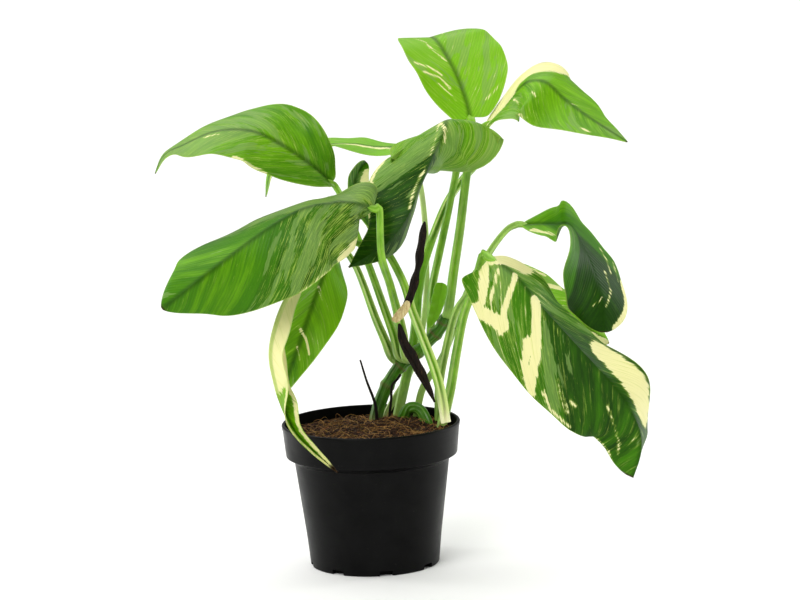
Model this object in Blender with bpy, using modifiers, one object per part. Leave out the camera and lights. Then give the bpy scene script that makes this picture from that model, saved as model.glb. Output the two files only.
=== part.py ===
# A variegated Monstera standleyana in a black 12 cm nursery pot.
#
# Frame: metres, +Z up, the origin at the centre of the pot's flat underside, and -Y the side that the
# plant is looked at from. Plant points are millimetres from the centre of the soil's surface: x to the
# right, y to the back, z up. A blade's left and right halves are named looking from its base to its tip
# with its upper side up.

import math

import bpy
from mathutils import Vector

MM = 0.001

# Pot
POT_HEIGHT = 97 * MM
RIM_RADIUS = 60 * MM
BAND_HEIGHT = 22 * MM
BAND_DRAFT = 2.5 * MM
SHOULDER_STEP = 5.5 * MM
SHOULDER_DROP = 2.5 * MM
BASE_RADIUS = 43.5 * MM
POT_WALL = 1.2 * MM
FLOOR_THICKNESS = 1.8 * MM
POT_STEPS = 40

# Drainage notches, where the wall meets the floor
NOTCH_COUNT = 8
NOTCH_WIDTH = 9 * MM
NOTCH_HEIGHT = 3.5 * MM
NOTCH_DEPTH = 5 * MM
NOTCH_TURN = math.radians(10)

# Soil
SOIL_BELOW_RIM = 6 * MM
SOIL_MOUND = 3 * MM
ROOTED_DEPTH = 12 * MM

# Plant, as drawn and as built
DRAWN_SPREAD = 330 * MM
DRAWN_HEIGHT = 270 * MM
DRAWN_RIM = 60 * MM
CROWN_SPREAD = 330 * MM
CROWN_HEIGHT = 270 * MM
ROOT_ZONE = 60  # drawn millimetres above the soil over which stalks spread from the pot's scale to the crown's
BLADE_THICKNESS = 0.7 * MM
NARROWEST_BLADE = 0.8 * MM
BLADE_ROWS = 12
BLADE_COLUMNS = 3

# What touching pieces keep between them, and a petiole's end from its blade
GAP = 0.35 * MM
BLADE_GAP = 1.1 * MM

SOIL_LEVEL = POT_HEIGHT - SOIL_BELOW_RIM
BAND_BOTTOM = POT_HEIGHT - BAND_HEIGHT
SPREAD = CROWN_SPREAD / DRAWN_SPREAD
RISE = CROWN_HEIGHT / DRAWN_HEIGHT
ROOTED_SCALE = RIM_RADIUS / DRAWN_RIM

BLADES = [
    {  # arches up and to the left, with a drip tip
        "name": "blade_upper_left",
        "midrib": [
            (-21, 0, 168), (-34, -10, 182), (-54, -15, 197), (-73, -15, 206), (-96, -13, 206), (-118, -10, 197),
            (-130, -11, 191), (-137, -12, 179),
        ],
        "faces": [(0, (-0.5, -0.55, 0.7)), (0.5, (-0.5, -0.6, 0.63)), (1, (-0.76, -0.2, 0.6))],
        "width": 34,
        "widest": 0.5,
        "round": 0.8,
        "lobe": 4,
        "left": {"width": 31, "fold": [(0, 8), (0.5, 18), (1, 13)], "curl": [(0, 12), (1, -16)]},
        "right": {"fold": [(0, 40), (0.5, -27), (1, 4)], "curl": [(0, 20), (1, -38)]},
    },
    {  # seen edge-on behind the first, its tip hanging
        "name": "blade_behind_left",
        "midrib": [(24, 40, 186), (9, 46, 186), (-7, 50, 188), (-25, 54, 187), (-46, 56, 182), (-62, 55, 171), (-67, 52, 153)],
        "faces": [(0, (0, -0.05, 1)), (0.6, (-0.1, -0.1, 1)), (1, (-0.95, -0.2, 0.2))],
        "width": 22,
        "left": {"fold": [(0, -18), (0.4, 8), (1, 0)]},
        "right": {"fold": [(0, 0)]},
    },
    {  # the large one at the front, reaching left
        "name": "blade_middle_left",
        "midrib": [
            (7, -55, 157), (-7, -66, 163), (-21, -72, 164), (-40, -78, 161), (-65, -86, 148), (-92, -94, 130),
            (-111, -102, 117), (-130, -101, 103),
        ],
        "faces": [(0, (-0.7, -0.65, 0.3)), (0.5, (0.22, -0.57, 0.8)), (1, (0.44, -0.77, 0.46))],
        "width": 43,
        "widest": 0.43,
        "left": {"width": 47, "fold": [(0, 5), (1, -34)], "curl": [(0, -66), (1, -14)]},
        "right": {"width": 41, "fold": [(0, -38), (1, -28)], "curl": [(0, -27), (1, -22)]},
    },
    {  # hangs behind the large left one
        "name": "blade_hanging",
        "midrib": [(-24, -12, 131), (-26, -33, 116), (-34, -42, 96), (-45, -46, 67), (-57, -47, 34)],
        "faces": [(0, (0.16, -0.77, 0.62)), (1, (-0.3, -0.93, 0.22))],
        "width": 23,
        "widest": 0.27,
        "round": 0.28,
        "left": {"fold": [(0, -48), (1, 22)], "curl": [(0, -23), (1, 3)]},
        "right": {"fold": [(0, -52), (1, 5)], "curl": [(0, -26), (1, -5)]},
    },
    {  # folded along its midrib, its dried tip in front of the pot
        "name": "blade_folded",
        "midrib": [
            (-43, -52, 111), (-53, -60, 98), (-60, -66, 81), (-63, -69, 65), (-61, -71, 49), (-57, -72, 33),
            (-49, -72, 15), (-39, -71, 3), (-30, -70, -6), (-22, -69, -14),
        ],
        "faces": [(0, (0.75, 0.6, 0.25)), (0.5, (0.97, -0.1, 0.2)), (0.72, (0.2, -0.95, 0.28)), (1, (0, -0.96, 0.3))],
        "width": 11,
        "widest": 0.4,
        "round": 0.45,
        "lobe": 2,
        "left": {"fold": [(0, 55), (0.6, 55), (0.75, 65)]},
        "right": {"fold": [(0, 55), (0.6, 55), (0.75, 65)]},
    },
    {  # comes over its petiole and hangs towards the front, its margins rolled under
        "name": "blade_drooping",
        "midrib": [
            (62, 8, 177), (60, 0, 195), (57, -12, 209), (54, -26, 202), (45, -36, 184), (37, -39, 167),
            (31, -40, 153), (22, -42, 140), (13, -43, 131), (1, -43, 124), (-11, -42, 117),
        ],
        "faces": [
            (0, (0, 0.95, 0.3)), (0.2, (0, 0.1, 1)), (0.33, (0, -0.7, 0.7)), (0.6, (-0.2, -0.93, 0.3)),
            (1, (-0.1, -0.9, 0.4)),
        ],
        "width": 45,
        "widest": 0.33,
        "round": 0.5,
        "lobe": 4,
        "left": {
            "width": 42,
            "fold": [(0, -10), (0.26, 2), (0.34, -45), (0.42, -78), (0.52, -100), (1, -60)],
            "curl": [(0, -40), (0.3, -50), (0.5, -40), (1, 0)],
        },
        "right": {
            "width": 50,
            "fold": [(0, -20), (0.3, -28), (0.45, -20), (0.7, 0), (1, -10)],
            "curl": [(0, -20), (0.3, -30), (0.45, -50), (0.7, -20), (1, 0)],
        },
    },
    {  # stands up and arches back over the top
        "name": "blade_top",
        "midrib": [(73, 21, 206), (71, 30, 216), (66, 41, 231), (60, 52, 243), (53, 66, 254), (48, 79, 256), (41, 89, 251)],
        "faces": [(0, (-0.2, -0.8, 0.54)), (0.5, (0.08, -0.7, 0.7)), (1, (-0.22, -0.05, 1))],
        "width": 34,
        "widest": 0.52,
        "round": 0.52,
        "left": {"width": 31, "fold": [(0, 23), (1, 15)]},
        "right": {"width": 38, "fold": [(0, 9), (1, -3)], "curl": [(0, -6), (1, -4)]},
    },
    {  # half cream, at the upper right
        "name": "blade_top_right",
        "midrib": [
            (84, 14, 202), (96, 13, 214), (104, 9, 224), (112, 2, 231), (123, -6, 231), (135, -12, 220), (151, -23, 208),
            (174, -35, 193),
        ],
        "faces": [(0, (-0.78, -0.05, 0.62)), (0.5, (0.13, -0.82, 0.55)), (1, (0.3, -0.28, 0.9))],
        "width": 34,
        "widest": 0.41,
        "round": 0.56,
        "lobe": 4,
        "left": {"fold": [(0, 18), (0.5, -31), (1, -11)], "curl": [(0, -44), (1, -4)]},
        "right": {"fold": [(0, 10), (1, 0)], "curl": [(0, -13), (1, 2)]},
    },
    {  # the large cream and green one at the front right
        "name": "blade_right_large",
        "midrib": [
            (81, -44, 121), (88, -49, 118), (99, -54, 109), (116, -60, 88), (135, -64, 66), (154, -66, 44),
            (168, -68, 25), (176, -68, 7), (176, -67, -9), (171, -64, -25),
        ],
        "faces": [(0, (-0.3, -0.8, 0.5)), (0.4, (-0.35, -0.9, 0.2)), (1, (-0.35, -0.94, 0))],
        "width": 45,
        "widest": 0.47,
        "round": 0.42,
        "lobe": 22,
        "left": {"width": 31, "lobe": 3, "fold": [(0, -55), (0.15, -64), (0.3, -80), (0.5, -78), (0.67, -56), (0.85, -95), (1, -120)]},
        "right": {"width": 50, "fold": [(0, 0)], "curl": [(0, -35), (0.5, -32), (0.75, -22), (1, 0)]},
    },
    {  # level at first, then bent down and forward at the right
        "name": "blade_right_arching",
        "midrib": [
            (106, 8, 135), (117, 1, 136), (127, -3, 136), (137, -6, 135), (146, -10, 119), (153, -15, 100),
            (157, -18, 82), (157, -22, 65),
        ],
        "faces": [(0, (-0.32, -0.78, 0.53)), (0.35, (0.9, -0.4, 0.2)), (0.6, (0.75, -0.6, 0.3)), (1, (0.42, -0.83, 0.37))],
        "width": 30,
        "widest": 0.6,
        "round": 0.9,
        "lobe": 3,
        "left": {"fold": [(0, -12), (0.35, 2), (1, -4)], "curl": [(0, -18), (1, -14)]},
        "right": {"fold": [(0, 25), (1, -20)], "curl": [(0, 18), (1, -10)]},
    },
    {  # behind the large right one
        "name": "blade_right_behind",
        "midrib": [(79, 8, 103), (96, 10, 98), (110, 11, 89), (125, 11, 78), (141, 11, 67), (162, 10, 52)],
        "faces": [(0, (-0.1, -0.75, 0.65))],
        "width": 25,
        "widest": 0.4,
        "round": 0.5,
        "left": {"fold": [(0, -18)], "curl": [(0, -20)]},
        "right": {"fold": [(0, 15)]},
    },
    {  # small, upright and half rolled, behind the large left one
        "name": "blade_small_upright",
        "midrib": [(6, -18, 137), (2, -4, 142), (-3, 12, 152), (-6, 23, 162), (-3, 31, 171), (2, 38, 177)],
        "faces": [(0, (0.4, -0.8, 0.4)), (1, (0.6, -0.8, 0.1))],
        "width": 11,
        "widest": 0.5,
        "round": 0.5,
        "lobe": 2,
        "left": {"width": 9, "fold": [(0, 20)]},
        "right": {"fold": [(0, 40)]},
    },
    {  # a short green sheath, open towards the front
        "name": "sheath_short",
        "midrib": [(41, 14, 66), (46, 12, 77), (49, 11, 87), (51, 10, 97)],
        "faces": [(0, (-0.2, -1, 0.1))],
        "width": 6,
        "widest": 0.75,
        "round": 0.5,
        "lobe": 0,
        "left": {"fold": [(0, 40)]},
        "right": {"fold": [(0, 40)]},
    },
    {  # a dried brown sheath
        "name": "sheath_dry_upper",
        "midrib": [(40, -30, 144), (37, -40, 133), (32, -46, 111), (27, -48, 94), (21, -48, 83)],
        "faces": [(0, (0.3, -1, 0)), (0.5, (0.8, -0.6, 0)), (1, (0.2, -1, 0))],
        "width": 4,
        "widest": 0.5,
        "round": 0.5,
        "lobe": 0,
        "left": {"fold": [(0, 25)]},
        "right": {"fold": [(0, 25)]},
    },
    {
        "name": "sheath_dry_lower",
        "midrib": [(21, -48, 80), (23, -48, 68), (29, -46, 56), (37, -45, 40), (43, -44, 26)],
        "faces": [(0, (0.5, -0.9, 0.1)), (1, (0.3, -1, 0))],
        "width": 4,
        "widest": 0.4,
        "round": 0.5,
        "lobe": 0,
        "left": {"fold": [(0, 25)]},
        "right": {"fold": [(0, 25)]},
    },
]

# A rooted stalk starts in the soil. One with a blade runs into that blade's base along its midrib.
STALKS = [
    {
        "name": "vine",
        "rooted": True,
        "path": [(3, 33, 0), (8, 34, 16), (15, 34, 29), (22, 33, 38), (30, 30, 44), (40, 26, 54), (48, 22, 63), (53, 19, 72)],
        "radius": (4.6, 4.0),
    },
    {
        "name": "petiole_upper_left",
        "path": [(20, 25, 46), (17, 15, 62), (10, 7, 86), (2, 2, 112), (-5, 0, 132), (-12, -2, 153)],
        "radius": (3.2, 1.8),
        "blade": "blade_upper_left",
    },
    {
        "name": "petiole_hanging",
        "path": [(15, 33, 44), (11, 22, 57), (5, 11, 75), (-2, 0, 99), (-7, -6, 113), (-14, -10, 125)],
        "radius": (3.2, 1.8),
        "blade": "blade_hanging",
    },
    {
        "name": "petiole_middle_left",
        "path": [(25, 20, 45), (23, 6, 63), (20, -12, 82), (16, -32, 103), (11, -49, 126)],
        "radius": (3.4, 2.2),
        "blade": "blade_middle_left",
    },
    {
        "name": "petiole_folded",
        "path": [(22, 42, 42), (20, 31, 67), (18, 15, 87), (13, -3, 106), (8, -14, 120), (-4, -24, 130), (-20, -37, 130)],
        "radius": (2.6, 1.6),
        "blade": "blade_folded",
    },
    {
        "name": "petiole_behind_left",
        "rooted": True,
        "path": [(10, 47, 0), (18, 49, 14), (27, 51, 28), (35, 53, 51), (40, 52, 79), (41, 51, 107), (41, 49, 129), (39, 47, 155), (35, 43, 175)],
        "radius": (2.4, 1.8),
        "blade": "blade_behind_left",
    },
    {
        "name": "petiole_top_right",
        "rooted": True,
        "path": [
            (18, 40, 0), (25, 42, 28), (30, 41, 49), (33, 40, 70), (35, 40, 87), (41, 40, 111), (55, 39, 145),
            (67, 35, 163), (76, 28, 174), (81, 21, 186),
        ],
        "radius": (3.6, 2.4),
        "blade": "blade_top_right",
    },
    {
        "name": "petiole_drooping",
        "path": [(42, 35, 55), (43, 29, 76), (44, 27, 90), (49, 24, 112), (56, 22, 141), (60, 15, 160)],
        "radius": (3.0, 2.2),
        "blade": "blade_drooping",
    },
    {
        "name": "petiole_top",
        "path": [(55, 17, 79), (59, 17, 104), (64, 18, 132), (68, 19, 159), (72, 20, 184)],
        "radius": (3.4, 2.6),
        "blade": "blade_top",
    },
    {
        "name": "petiole_right_behind",
        "rooted": True,
        "path": [(31, 41, 0), (36, 40, 20), (49, 37, 40), (57, 34, 58), (63, 28, 76), (69, 19, 92)],
        "radius": (2.6, 2.0),
        "blade": "blade_right_behind",
    },
    {
        "name": "petiole_right_arching",
        "rooted": True,
        "path": [(46, 22, 0), (47, 21, 25), (52, 11, 51), (59, 3, 77), (69, -2, 93), (82, -2, 117), (94, 6, 131)],
        "radius": (3.2, 2.0),
        "blade": "blade_right_arching",
    },
    {
        "name": "petiole_right_large",
        "rooted": True,
        "path": [(48, 10, 0), (54, 8, 23), (59, 0, 51), (64, -14, 77), (71, -27, 99)],
        "radius": (3.6, 2.4),
        "blade": "blade_right_large",
    },
    {  # rests over the rim
        "name": "petiole_over_rim",
        "path": [(50, -38, 11), (47, -37, 32), (43, -35, 48), (36, -32, 68), (30, -29, 85), (26, -26, 100), (21, -24, 112), (14, -22, 125)],
        "radius": (3.4, 2.4),
        "blade": "blade_small_upright",
    },
    {
        "name": "rhizome",
        "rooted": True,
        "path": [(21, 27, 0), (26, 24, 9), (33, 19, 9), (38, 16, 0)],
        "radius": (4.0, 4.0),
    },
    {
        "name": "dry_strand",
        "rooted": True,
        "path": [(4, 21, 0), (3, 21, 14), (-2, 22, 29), (-6, 22, 44)],
        "radius": (1.4, 0.6),
    },
    {
        "name": "aerial_root_long",
        "rooted": True,
        "path": [(12, 18, 0), (14, 19, 16), (15, 19, 26), (19, 18, 31), (21, 17, 34)],
        "radius": (0.9, 0.9),
    },
    {
        "name": "aerial_root_short",
        "path": [(53, 25, 65), (56, 27, 63), (59, 27, 63)],
        "radius": (0.9, 0.7),
    },
]

# A word in a piece's name picks its colour.
COLORS = {
    "dry": ("dried_sheath", (0.035, 0.02, 0.012), 0.8),
    "root": ("dried_sheath", (0.035, 0.02, 0.012), 0.8),
    "petiole": ("petiole", (0.16, 0.36, 0.05), 0.4),
    "vine": ("stem", (0.07, 0.19, 0.03), 0.4),
    "rhizome": ("stem", (0.07, 0.19, 0.03), 0.4),
    "": ("leaf", (0.1, 0.3, 0.03), 0.45),
}


def clear_scene():
    for existing in list(bpy.data.objects):
        bpy.data.objects.remove(existing, do_unlink=True)


def add_collection(name, hidden=False):
    made = bpy.data.collections.new(name)
    made.hide_render = hidden
    bpy.context.scene.collection.children.link(made)
    return made


def material_of(name, color, roughness):
    found = bpy.data.materials.get(name)
    if found:
        return found
    made = bpy.data.materials.new(name)
    made.use_nodes = True
    shader = made.node_tree.nodes["Principled BSDF"]
    shader.inputs["Base Color"].default_value = (*color, 1.0)
    shader.inputs["Roughness"].default_value = roughness
    return made


def color_of(name):
    word = next(word for word in COLORS if word in name)
    return material_of(*COLORS[word])


def add_object(name, data, material, collection):
    made = bpy.data.objects.new(name, data)
    collection.objects.link(made)
    if material:
        data.materials.append(material)
    if collection.hide_render:
        made.hide_render = True
        made.display_type = "WIRE"
    return made


def plant_point(x, y, z):
    """Where a plant point drawn in millimetres stands in the row frame: at the pot's scale near the soil."""
    blend = min(max(z / ROOT_ZONE, 0.0), 1.0)
    across = (ROOTED_SCALE + (SPREAD - ROOTED_SCALE) * blend) * MM
    return Vector((x * across, y * across, SOIL_LEVEL + z * MM * RISE))


# Curves


def smooth_line(points, count):
    """count evenly spaced points along a Catmull-Rom curve through points."""
    padded = [points[0] * 2 - points[1], *points, points[-1] * 2 - points[-2]]
    fine = []
    for a, b, c, d in zip(padded, padded[1:], padded[2:], padded[3:]):
        for step in range(12):
            t = step / 12
            bend = (2 * a - 5 * b + 4 * c - d) * t**2 + (3 * b - a - 3 * c + d) * t**3
            fine.append((2 * b + (c - a) * t + bend) / 2)
    fine.append(points[-1])
    travelled = [0.0]
    for a, b in zip(fine, fine[1:]):
        travelled.append(travelled[-1] + (b - a).length)
    line = []
    index = 0
    for step in range(count):
        goal = travelled[-1] * step / (count - 1)
        while index < len(fine) - 2 and travelled[index + 1] < goal:
            index += 1
        span = travelled[index + 1] - travelled[index]
        line.append(fine[index].lerp(fine[index + 1], (goal - travelled[index]) / span))
    return line


def value_at(keys, share):
    """The value of keys, a list of (share, value), eased between its neighbours."""
    if share <= keys[0][0]:
        return keys[0][1]
    for (low, start), (high, end) in zip(keys, keys[1:]):
        if share <= high:
            blend = (share - low) / (high - low)
            return start + (end - start) * blend**2 * (3 - 2 * blend)
    return keys[-1][1]


# Blades


def blade_rows(blade, rows, columns):
    """Rows of a blade's points, base to tip, each from the left margin to the right one."""
    line = smooth_line([plant_point(*point) for point in blade["midrib"]], 61)
    last = len(line) - 1
    widest = blade.get("widest", 0.38)
    base_power = blade.get("round", 0.5)
    tip_power = base_power * (1 - widest) / widest
    made = []
    for row in range(rows + 1):
        even = row / rows
        share = 0.004 + 0.992 * (0.45 * even + 0.55 * (0.5 - 0.5 * math.cos(math.pi * even)))
        index = min(int(share * last), last - 1)
        centre = line[index].lerp(line[index + 1], share * last - index)
        along = (line[min(index + 2, last)] - line[max(index - 1, 0)]).normalized()
        face = Vector([value_at([(s, f[axis]) for s, f in blade["faces"]], share) for axis in range(3)])
        upper = (face - along * face.dot(along)).normalized()
        right = along.cross(upper)
        outline = (share / widest) ** base_power * ((1 - share) / (1 - widest)) ** tip_power
        early = min(share / 0.25, 1.0)
        bump = (1 - early) ** 2 * (1 - (1 - min(6 * early, 1.0)) ** 2)
        halves = {0: centre}
        for side, key in ((-1, "left"), (1, "right")):
            half = blade[key]
            width = max(half.get("width", blade["width"]) * MM * SPREAD * outline, NARROWEST_BLADE)
            lobe = half.get("lobe", blade.get("lobe", 8)) * MM * SPREAD * bump
            point = centre
            for column in range(1, columns + 1):
                middle = (column - 0.5) / columns
                angle = value_at(half["fold"], share) + value_at(half.get("curl", [(0, 0)]), share) * middle**1.4
                turned = right * (side * math.cos(math.radians(angle))) + upper * math.sin(math.radians(angle))
                point = point + turned * (width / columns)
                halves[side * column] = point - along * (lobe * (column / columns) ** 2)
        made.append([halves[column] for column in range(-columns, columns + 1)])
    return made


def add_blade(blade, collection):
    rows = blade_rows(blade, BLADE_ROWS, BLADE_COLUMNS)
    across = len(rows[0])
    faces = []
    for row in range(len(rows) - 1):
        for column in range(across - 1):
            corner = row * across + column
            faces.append((corner, corner + 1, corner + across + 1, corner + across))
    mesh = bpy.data.meshes.new(blade["name"])
    mesh.from_pydata([point for row in rows for point in row], [], faces)
    mesh.shade_smooth()
    made = add_object(blade["name"], mesh, color_of(blade["name"]), collection)
    thick = made.modifiers.new("thickness", "SOLIDIFY")
    thick.thickness = BLADE_THICKNESS
    thick.offset = 0.0
    return made


# Stalks


def stalk_path(stalk):
    points = [plant_point(*point) for point in stalk["path"]]
    if stalk.get("rooted"):
        foot = points[0]
        points[0] = Vector((foot.x * 0.94, foot.y * 0.94, SOIL_LEVEL - ROOTED_DEPTH))
        points.insert(1, foot)
    if stalk["name"] == "rhizome":
        points.append(points[-1] - Vector((0, 0, ROOTED_DEPTH / 2)))
    if "blade" in stalk:
        blade = next(blade for blade in BLADES if blade["name"] == stalk["blade"])
        base, after = [plant_point(*point) for point in blade["midrib"][:2]]
        along = (after - base).normalized()
        points.append(base - along * (BLADE_GAP + 4 * MM))
        points.append(base - along * BLADE_GAP)
    return points


def add_stalk(stalk, collection, extra=0.0, name=None):
    """A stalk along its path, its radius going from the first to the second, both with extra added."""
    name = name or stalk["name"]
    points = stalk_path(stalk)
    line = smooth_line(points, 2 * len(points))
    curve = bpy.data.curves.new(name, "CURVE")
    curve.dimensions = "3D"
    curve.bevel_depth = 1.0
    curve.bevel_resolution = 2
    curve.use_fill_caps = True
    spline = curve.splines.new("POLY")
    spline.points.add(len(line) - 1)
    thick, thin = stalk["radius"]
    for number, point in enumerate(line):
        spline.points[number].co = (*point, 1.0)
        radius = thick + (thin - thick) * number / (len(line) - 1)
        spline.points[number].radius = radius * MM + extra
    return add_object(name, curve, color_of(name), collection)


def as_mesh(curve_object):
    """The same object, its curve replaced by the mesh that it draws."""
    graph = bpy.context.evaluated_depsgraph_get()
    mesh = bpy.data.meshes.new_from_object(curve_object.evaluated_get(graph))
    made = bpy.data.objects.new(curve_object.name + "_cutter", mesh)
    for collection in curve_object.users_collection:
        collection.objects.link(made)
    bpy.data.objects.remove(curve_object, do_unlink=True)
    weld = made.modifiers.new("caps", "WELD")
    weld.merge_threshold = 0.00001
    made.hide_render = True
    made.display_type = "WIRE"
    return made


# Pot and soil


def turned(name, profile, material, collection):
    """A profile of (radius, height) turned about the pot's axis."""
    mesh = bpy.data.meshes.new(name)
    points = [(radius, 0, height) for radius, height in profile]
    mesh.from_pydata(points, [(i, i + 1) for i in range(len(points) - 1)], [])
    made = add_object(name, mesh, material, collection)
    screw = made.modifiers.new("turn", "SCREW")
    screw.steps = POT_STEPS
    screw.render_steps = POT_STEPS
    screw.use_merge_vertices = True
    screw.merge_threshold = 0.00005
    screw.use_smooth_shade = True
    return made


def shoulder_radius():
    return RIM_RADIUS - BAND_DRAFT - SHOULDER_STEP


def cut(target, cutter):
    boolean = target.modifiers.new(cutter.name, "BOOLEAN")
    boolean.operation = "DIFFERENCE"
    boolean.solver = "EXACT"
    boolean.object = cutter


def add_pot(collection, cutters):
    shoulder = BAND_BOTTOM - SHOULDER_DROP
    profile = [
        (0, FLOOR_THICKNESS),
        (BASE_RADIUS - POT_WALL, FLOOR_THICKNESS),
        (shoulder_radius() - POT_WALL, shoulder),
        (RIM_RADIUS - BAND_DRAFT - POT_WALL, BAND_BOTTOM + POT_WALL),
        (RIM_RADIUS - POT_WALL, POT_HEIGHT),
        (RIM_RADIUS, POT_HEIGHT),
        (RIM_RADIUS - BAND_DRAFT, BAND_BOTTOM),
        (shoulder_radius(), shoulder - POT_WALL),
        (BASE_RADIUS, 0),
        (0, 0),
    ]
    pot = turned("pot", profile, material_of("black_plastic", (0.02, 0.02, 0.021), 0.45), collection)
    for number in range(NOTCH_COUNT):
        turn = NOTCH_TURN + 2 * math.pi * number / NOTCH_COUNT
        out = Vector((math.cos(turn), math.sin(turn), 0))
        side = Vector((-out.y, out.x, 0)) * (NOTCH_WIDTH / 2)
        corners = []
        for height in (-MM, NOTCH_HEIGHT):
            for reach in (BASE_RADIUS - NOTCH_DEPTH, BASE_RADIUS + 5 * MM):
                corners += [out * reach + side + Vector((0, 0, height)), out * reach - side + Vector((0, 0, height))]
        mesh = bpy.data.meshes.new(f"notch_{number}")
        faces = [(0, 2, 3, 1), (4, 5, 7, 6), (0, 1, 5, 4), (2, 6, 7, 3), (0, 4, 6, 2), (1, 3, 7, 5)]
        mesh.from_pydata(corners, [], faces)
        cut(pot, add_object(f"notch_{number}", mesh, None, cutters))
    return pot


def add_soil(collection, cutters):
    shoulder = BAND_BOTTOM - SHOULDER_DROP
    inset = POT_WALL + GAP
    at_surface = RIM_RADIUS - BAND_DRAFT * SOIL_BELOW_RIM / BAND_HEIGHT
    profile = [
        (0, SOIL_LEVEL + SOIL_MOUND),
        (RIM_RADIUS * 0.25, SOIL_LEVEL + SOIL_MOUND * 0.85),
        (RIM_RADIUS * 0.5, SOIL_LEVEL + SOIL_MOUND * 0.4),
        (RIM_RADIUS * 0.7, SOIL_LEVEL),
        (at_surface - inset, SOIL_LEVEL),
        (RIM_RADIUS - BAND_DRAFT - inset, BAND_BOTTOM + inset),
        (shoulder_radius() - inset, shoulder + GAP / 2),
        (BASE_RADIUS - inset, FLOOR_THICKNESS + GAP),
        (0, FLOOR_THICKNESS + GAP),
    ]
    soil = turned("soil", profile, material_of("potting_soil", (0.05, 0.03, 0.018), 0.95), collection)
    for stalk in STALKS:
        if stalk.get("rooted"):
            cut(soil, as_mesh(add_stalk(stalk, cutters, GAP, stalk["name"] + "_socket")))
    return soil


def main():
    clear_scene()
    plant = add_collection("potted_monstera")
    cutters = add_collection("cutters", hidden=True)
    add_pot(plant, cutters)
    add_soil(plant, cutters)
    for stalk in STALKS:
        add_stalk(stalk, plant)
    for blade in BLADES:
        add_blade(blade, plant)


main()
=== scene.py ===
# A variegated Monstera standleyana in a black nursery pot: its looks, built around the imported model.
#
# Plant points are millimetres from the centre of the soil's surface: x to the right, y to the back, z up.
# A leaf's left and right halves are named looking from its base to its tip with its upper side up.
# Shares run from 0 at a leaf's or a stalk's base to 1 at its tip.

import math

import bpy
import numpy as np
from mathutils import Matrix, Vector


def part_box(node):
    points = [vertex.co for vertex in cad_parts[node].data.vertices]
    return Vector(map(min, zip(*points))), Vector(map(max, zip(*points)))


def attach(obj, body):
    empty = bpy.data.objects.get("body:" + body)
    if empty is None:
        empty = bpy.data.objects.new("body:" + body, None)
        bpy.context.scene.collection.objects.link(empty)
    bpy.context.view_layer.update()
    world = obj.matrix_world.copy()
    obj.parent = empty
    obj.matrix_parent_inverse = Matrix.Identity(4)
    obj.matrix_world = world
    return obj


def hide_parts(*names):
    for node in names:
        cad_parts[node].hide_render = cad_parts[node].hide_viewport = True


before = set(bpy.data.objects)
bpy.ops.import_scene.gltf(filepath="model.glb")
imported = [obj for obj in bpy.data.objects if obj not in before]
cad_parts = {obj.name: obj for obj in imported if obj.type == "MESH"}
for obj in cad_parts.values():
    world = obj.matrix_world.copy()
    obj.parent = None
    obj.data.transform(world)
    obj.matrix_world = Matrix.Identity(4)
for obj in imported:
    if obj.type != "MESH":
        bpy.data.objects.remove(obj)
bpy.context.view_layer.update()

mm = 0.001
soilBelowRim = 6 * mm
potLow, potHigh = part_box("pot")
rimRadius = (potHigh.x - potLow.x) / 2
soilLevel = potHigh.z - soilBelowRim
rng = np.random.default_rng(7)
print("frame loaded")


# Shared tools

def toLinear(hexColor):
    channels = [int(hexColor[i:i + 2], 16) / 255 for i in (1, 3, 5)]
    return [c / 12.92 if c <= 0.04045 else ((c + 0.055) / 1.055) ** 2.4 for c in channels] + [1.0]


# Adds a node and returns one of its outputs. Settings are the node's own properties, inputs are its sockets'
# sources or plain values, and stops are a colour ramp's (position, colour) pairs.
def addNode(tree, kind, settings={}, inputs={}, output=0, stops=()):
    node = tree.nodes.new(kind)
    for key, value in settings.items():
        setattr(node, key, value)
    for key, source in inputs.items():
        if isinstance(source, bpy.types.NodeSocket):
            tree.links.new(source, node.inputs[key])
        else:
            node.inputs[key].default_value = source
    for number, (position, color) in enumerate(stops):
        elements = node.color_ramp.elements
        element = elements[number] if number < 2 else elements.new(position)
        element.position = position
        element.color = color
    return node.outputs[output] if len(node.outputs) else node


def newMaterial(name):
    made = bpy.data.materials.new(name)
    made.use_nodes = True
    made.node_tree.nodes.clear()
    return made, made.node_tree


# The last nodes of a surface: its fine relief, given in millimetres, under its skin.
def finishSurface(tree, color, gloss, relief, strength, depth, skin):
    bump = addNode(tree, "ShaderNodeBump", {},
                   {"Strength": strength, "Distance": depth * mm, "Height": relief})
    shader = addNode(tree, "ShaderNodeBsdfPrincipled", {}, {
        "Base Color": color, "Roughness": gloss, "Normal": bump, **skin})
    addNode(tree, "ShaderNodeOutputMaterial", {}, {0: shader})


def plantPoint(x, y, z):
    return np.array([x * mm, y * mm, soilLevel + z * mm])


def unit(vectors):
    return vectors / np.maximum(np.linalg.norm(vectors, axis=-1, keepdims=True), 1e-12)


# Evenly spaced points along a Catmull-Rom curve through the given ones.
def smoothLine(points, count):
    points = np.array(points, float)
    padded = np.vstack([2 * points[0] - points[1], points, 2 * points[-1] - points[-2]])
    steps = np.linspace(0, 1, 12, endpoint=False)[:, None]
    fine = []
    for a, b, c, d in zip(padded, padded[1:], padded[2:], padded[3:]):
        bend = (2 * a - 5 * b + 4 * c - d) * steps**2 + (3 * b - a - 3 * c + d) * steps**3
        fine.append((2 * b + (c - a) * steps + bend) / 2)
    fine = np.vstack([*fine, points[-1:]])
    return pointsAt(fine, np.linspace(0, 1, count))


def pointsAt(line, shares):
    travelled = np.concatenate([[0], np.cumsum(np.linalg.norm(np.diff(line, axis=0), axis=1))])
    goals = np.clip(shares, 0, 1) * travelled[-1]
    return np.stack([np.interp(goals, travelled, line[:, axis]) for axis in range(3)], axis=1)


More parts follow.
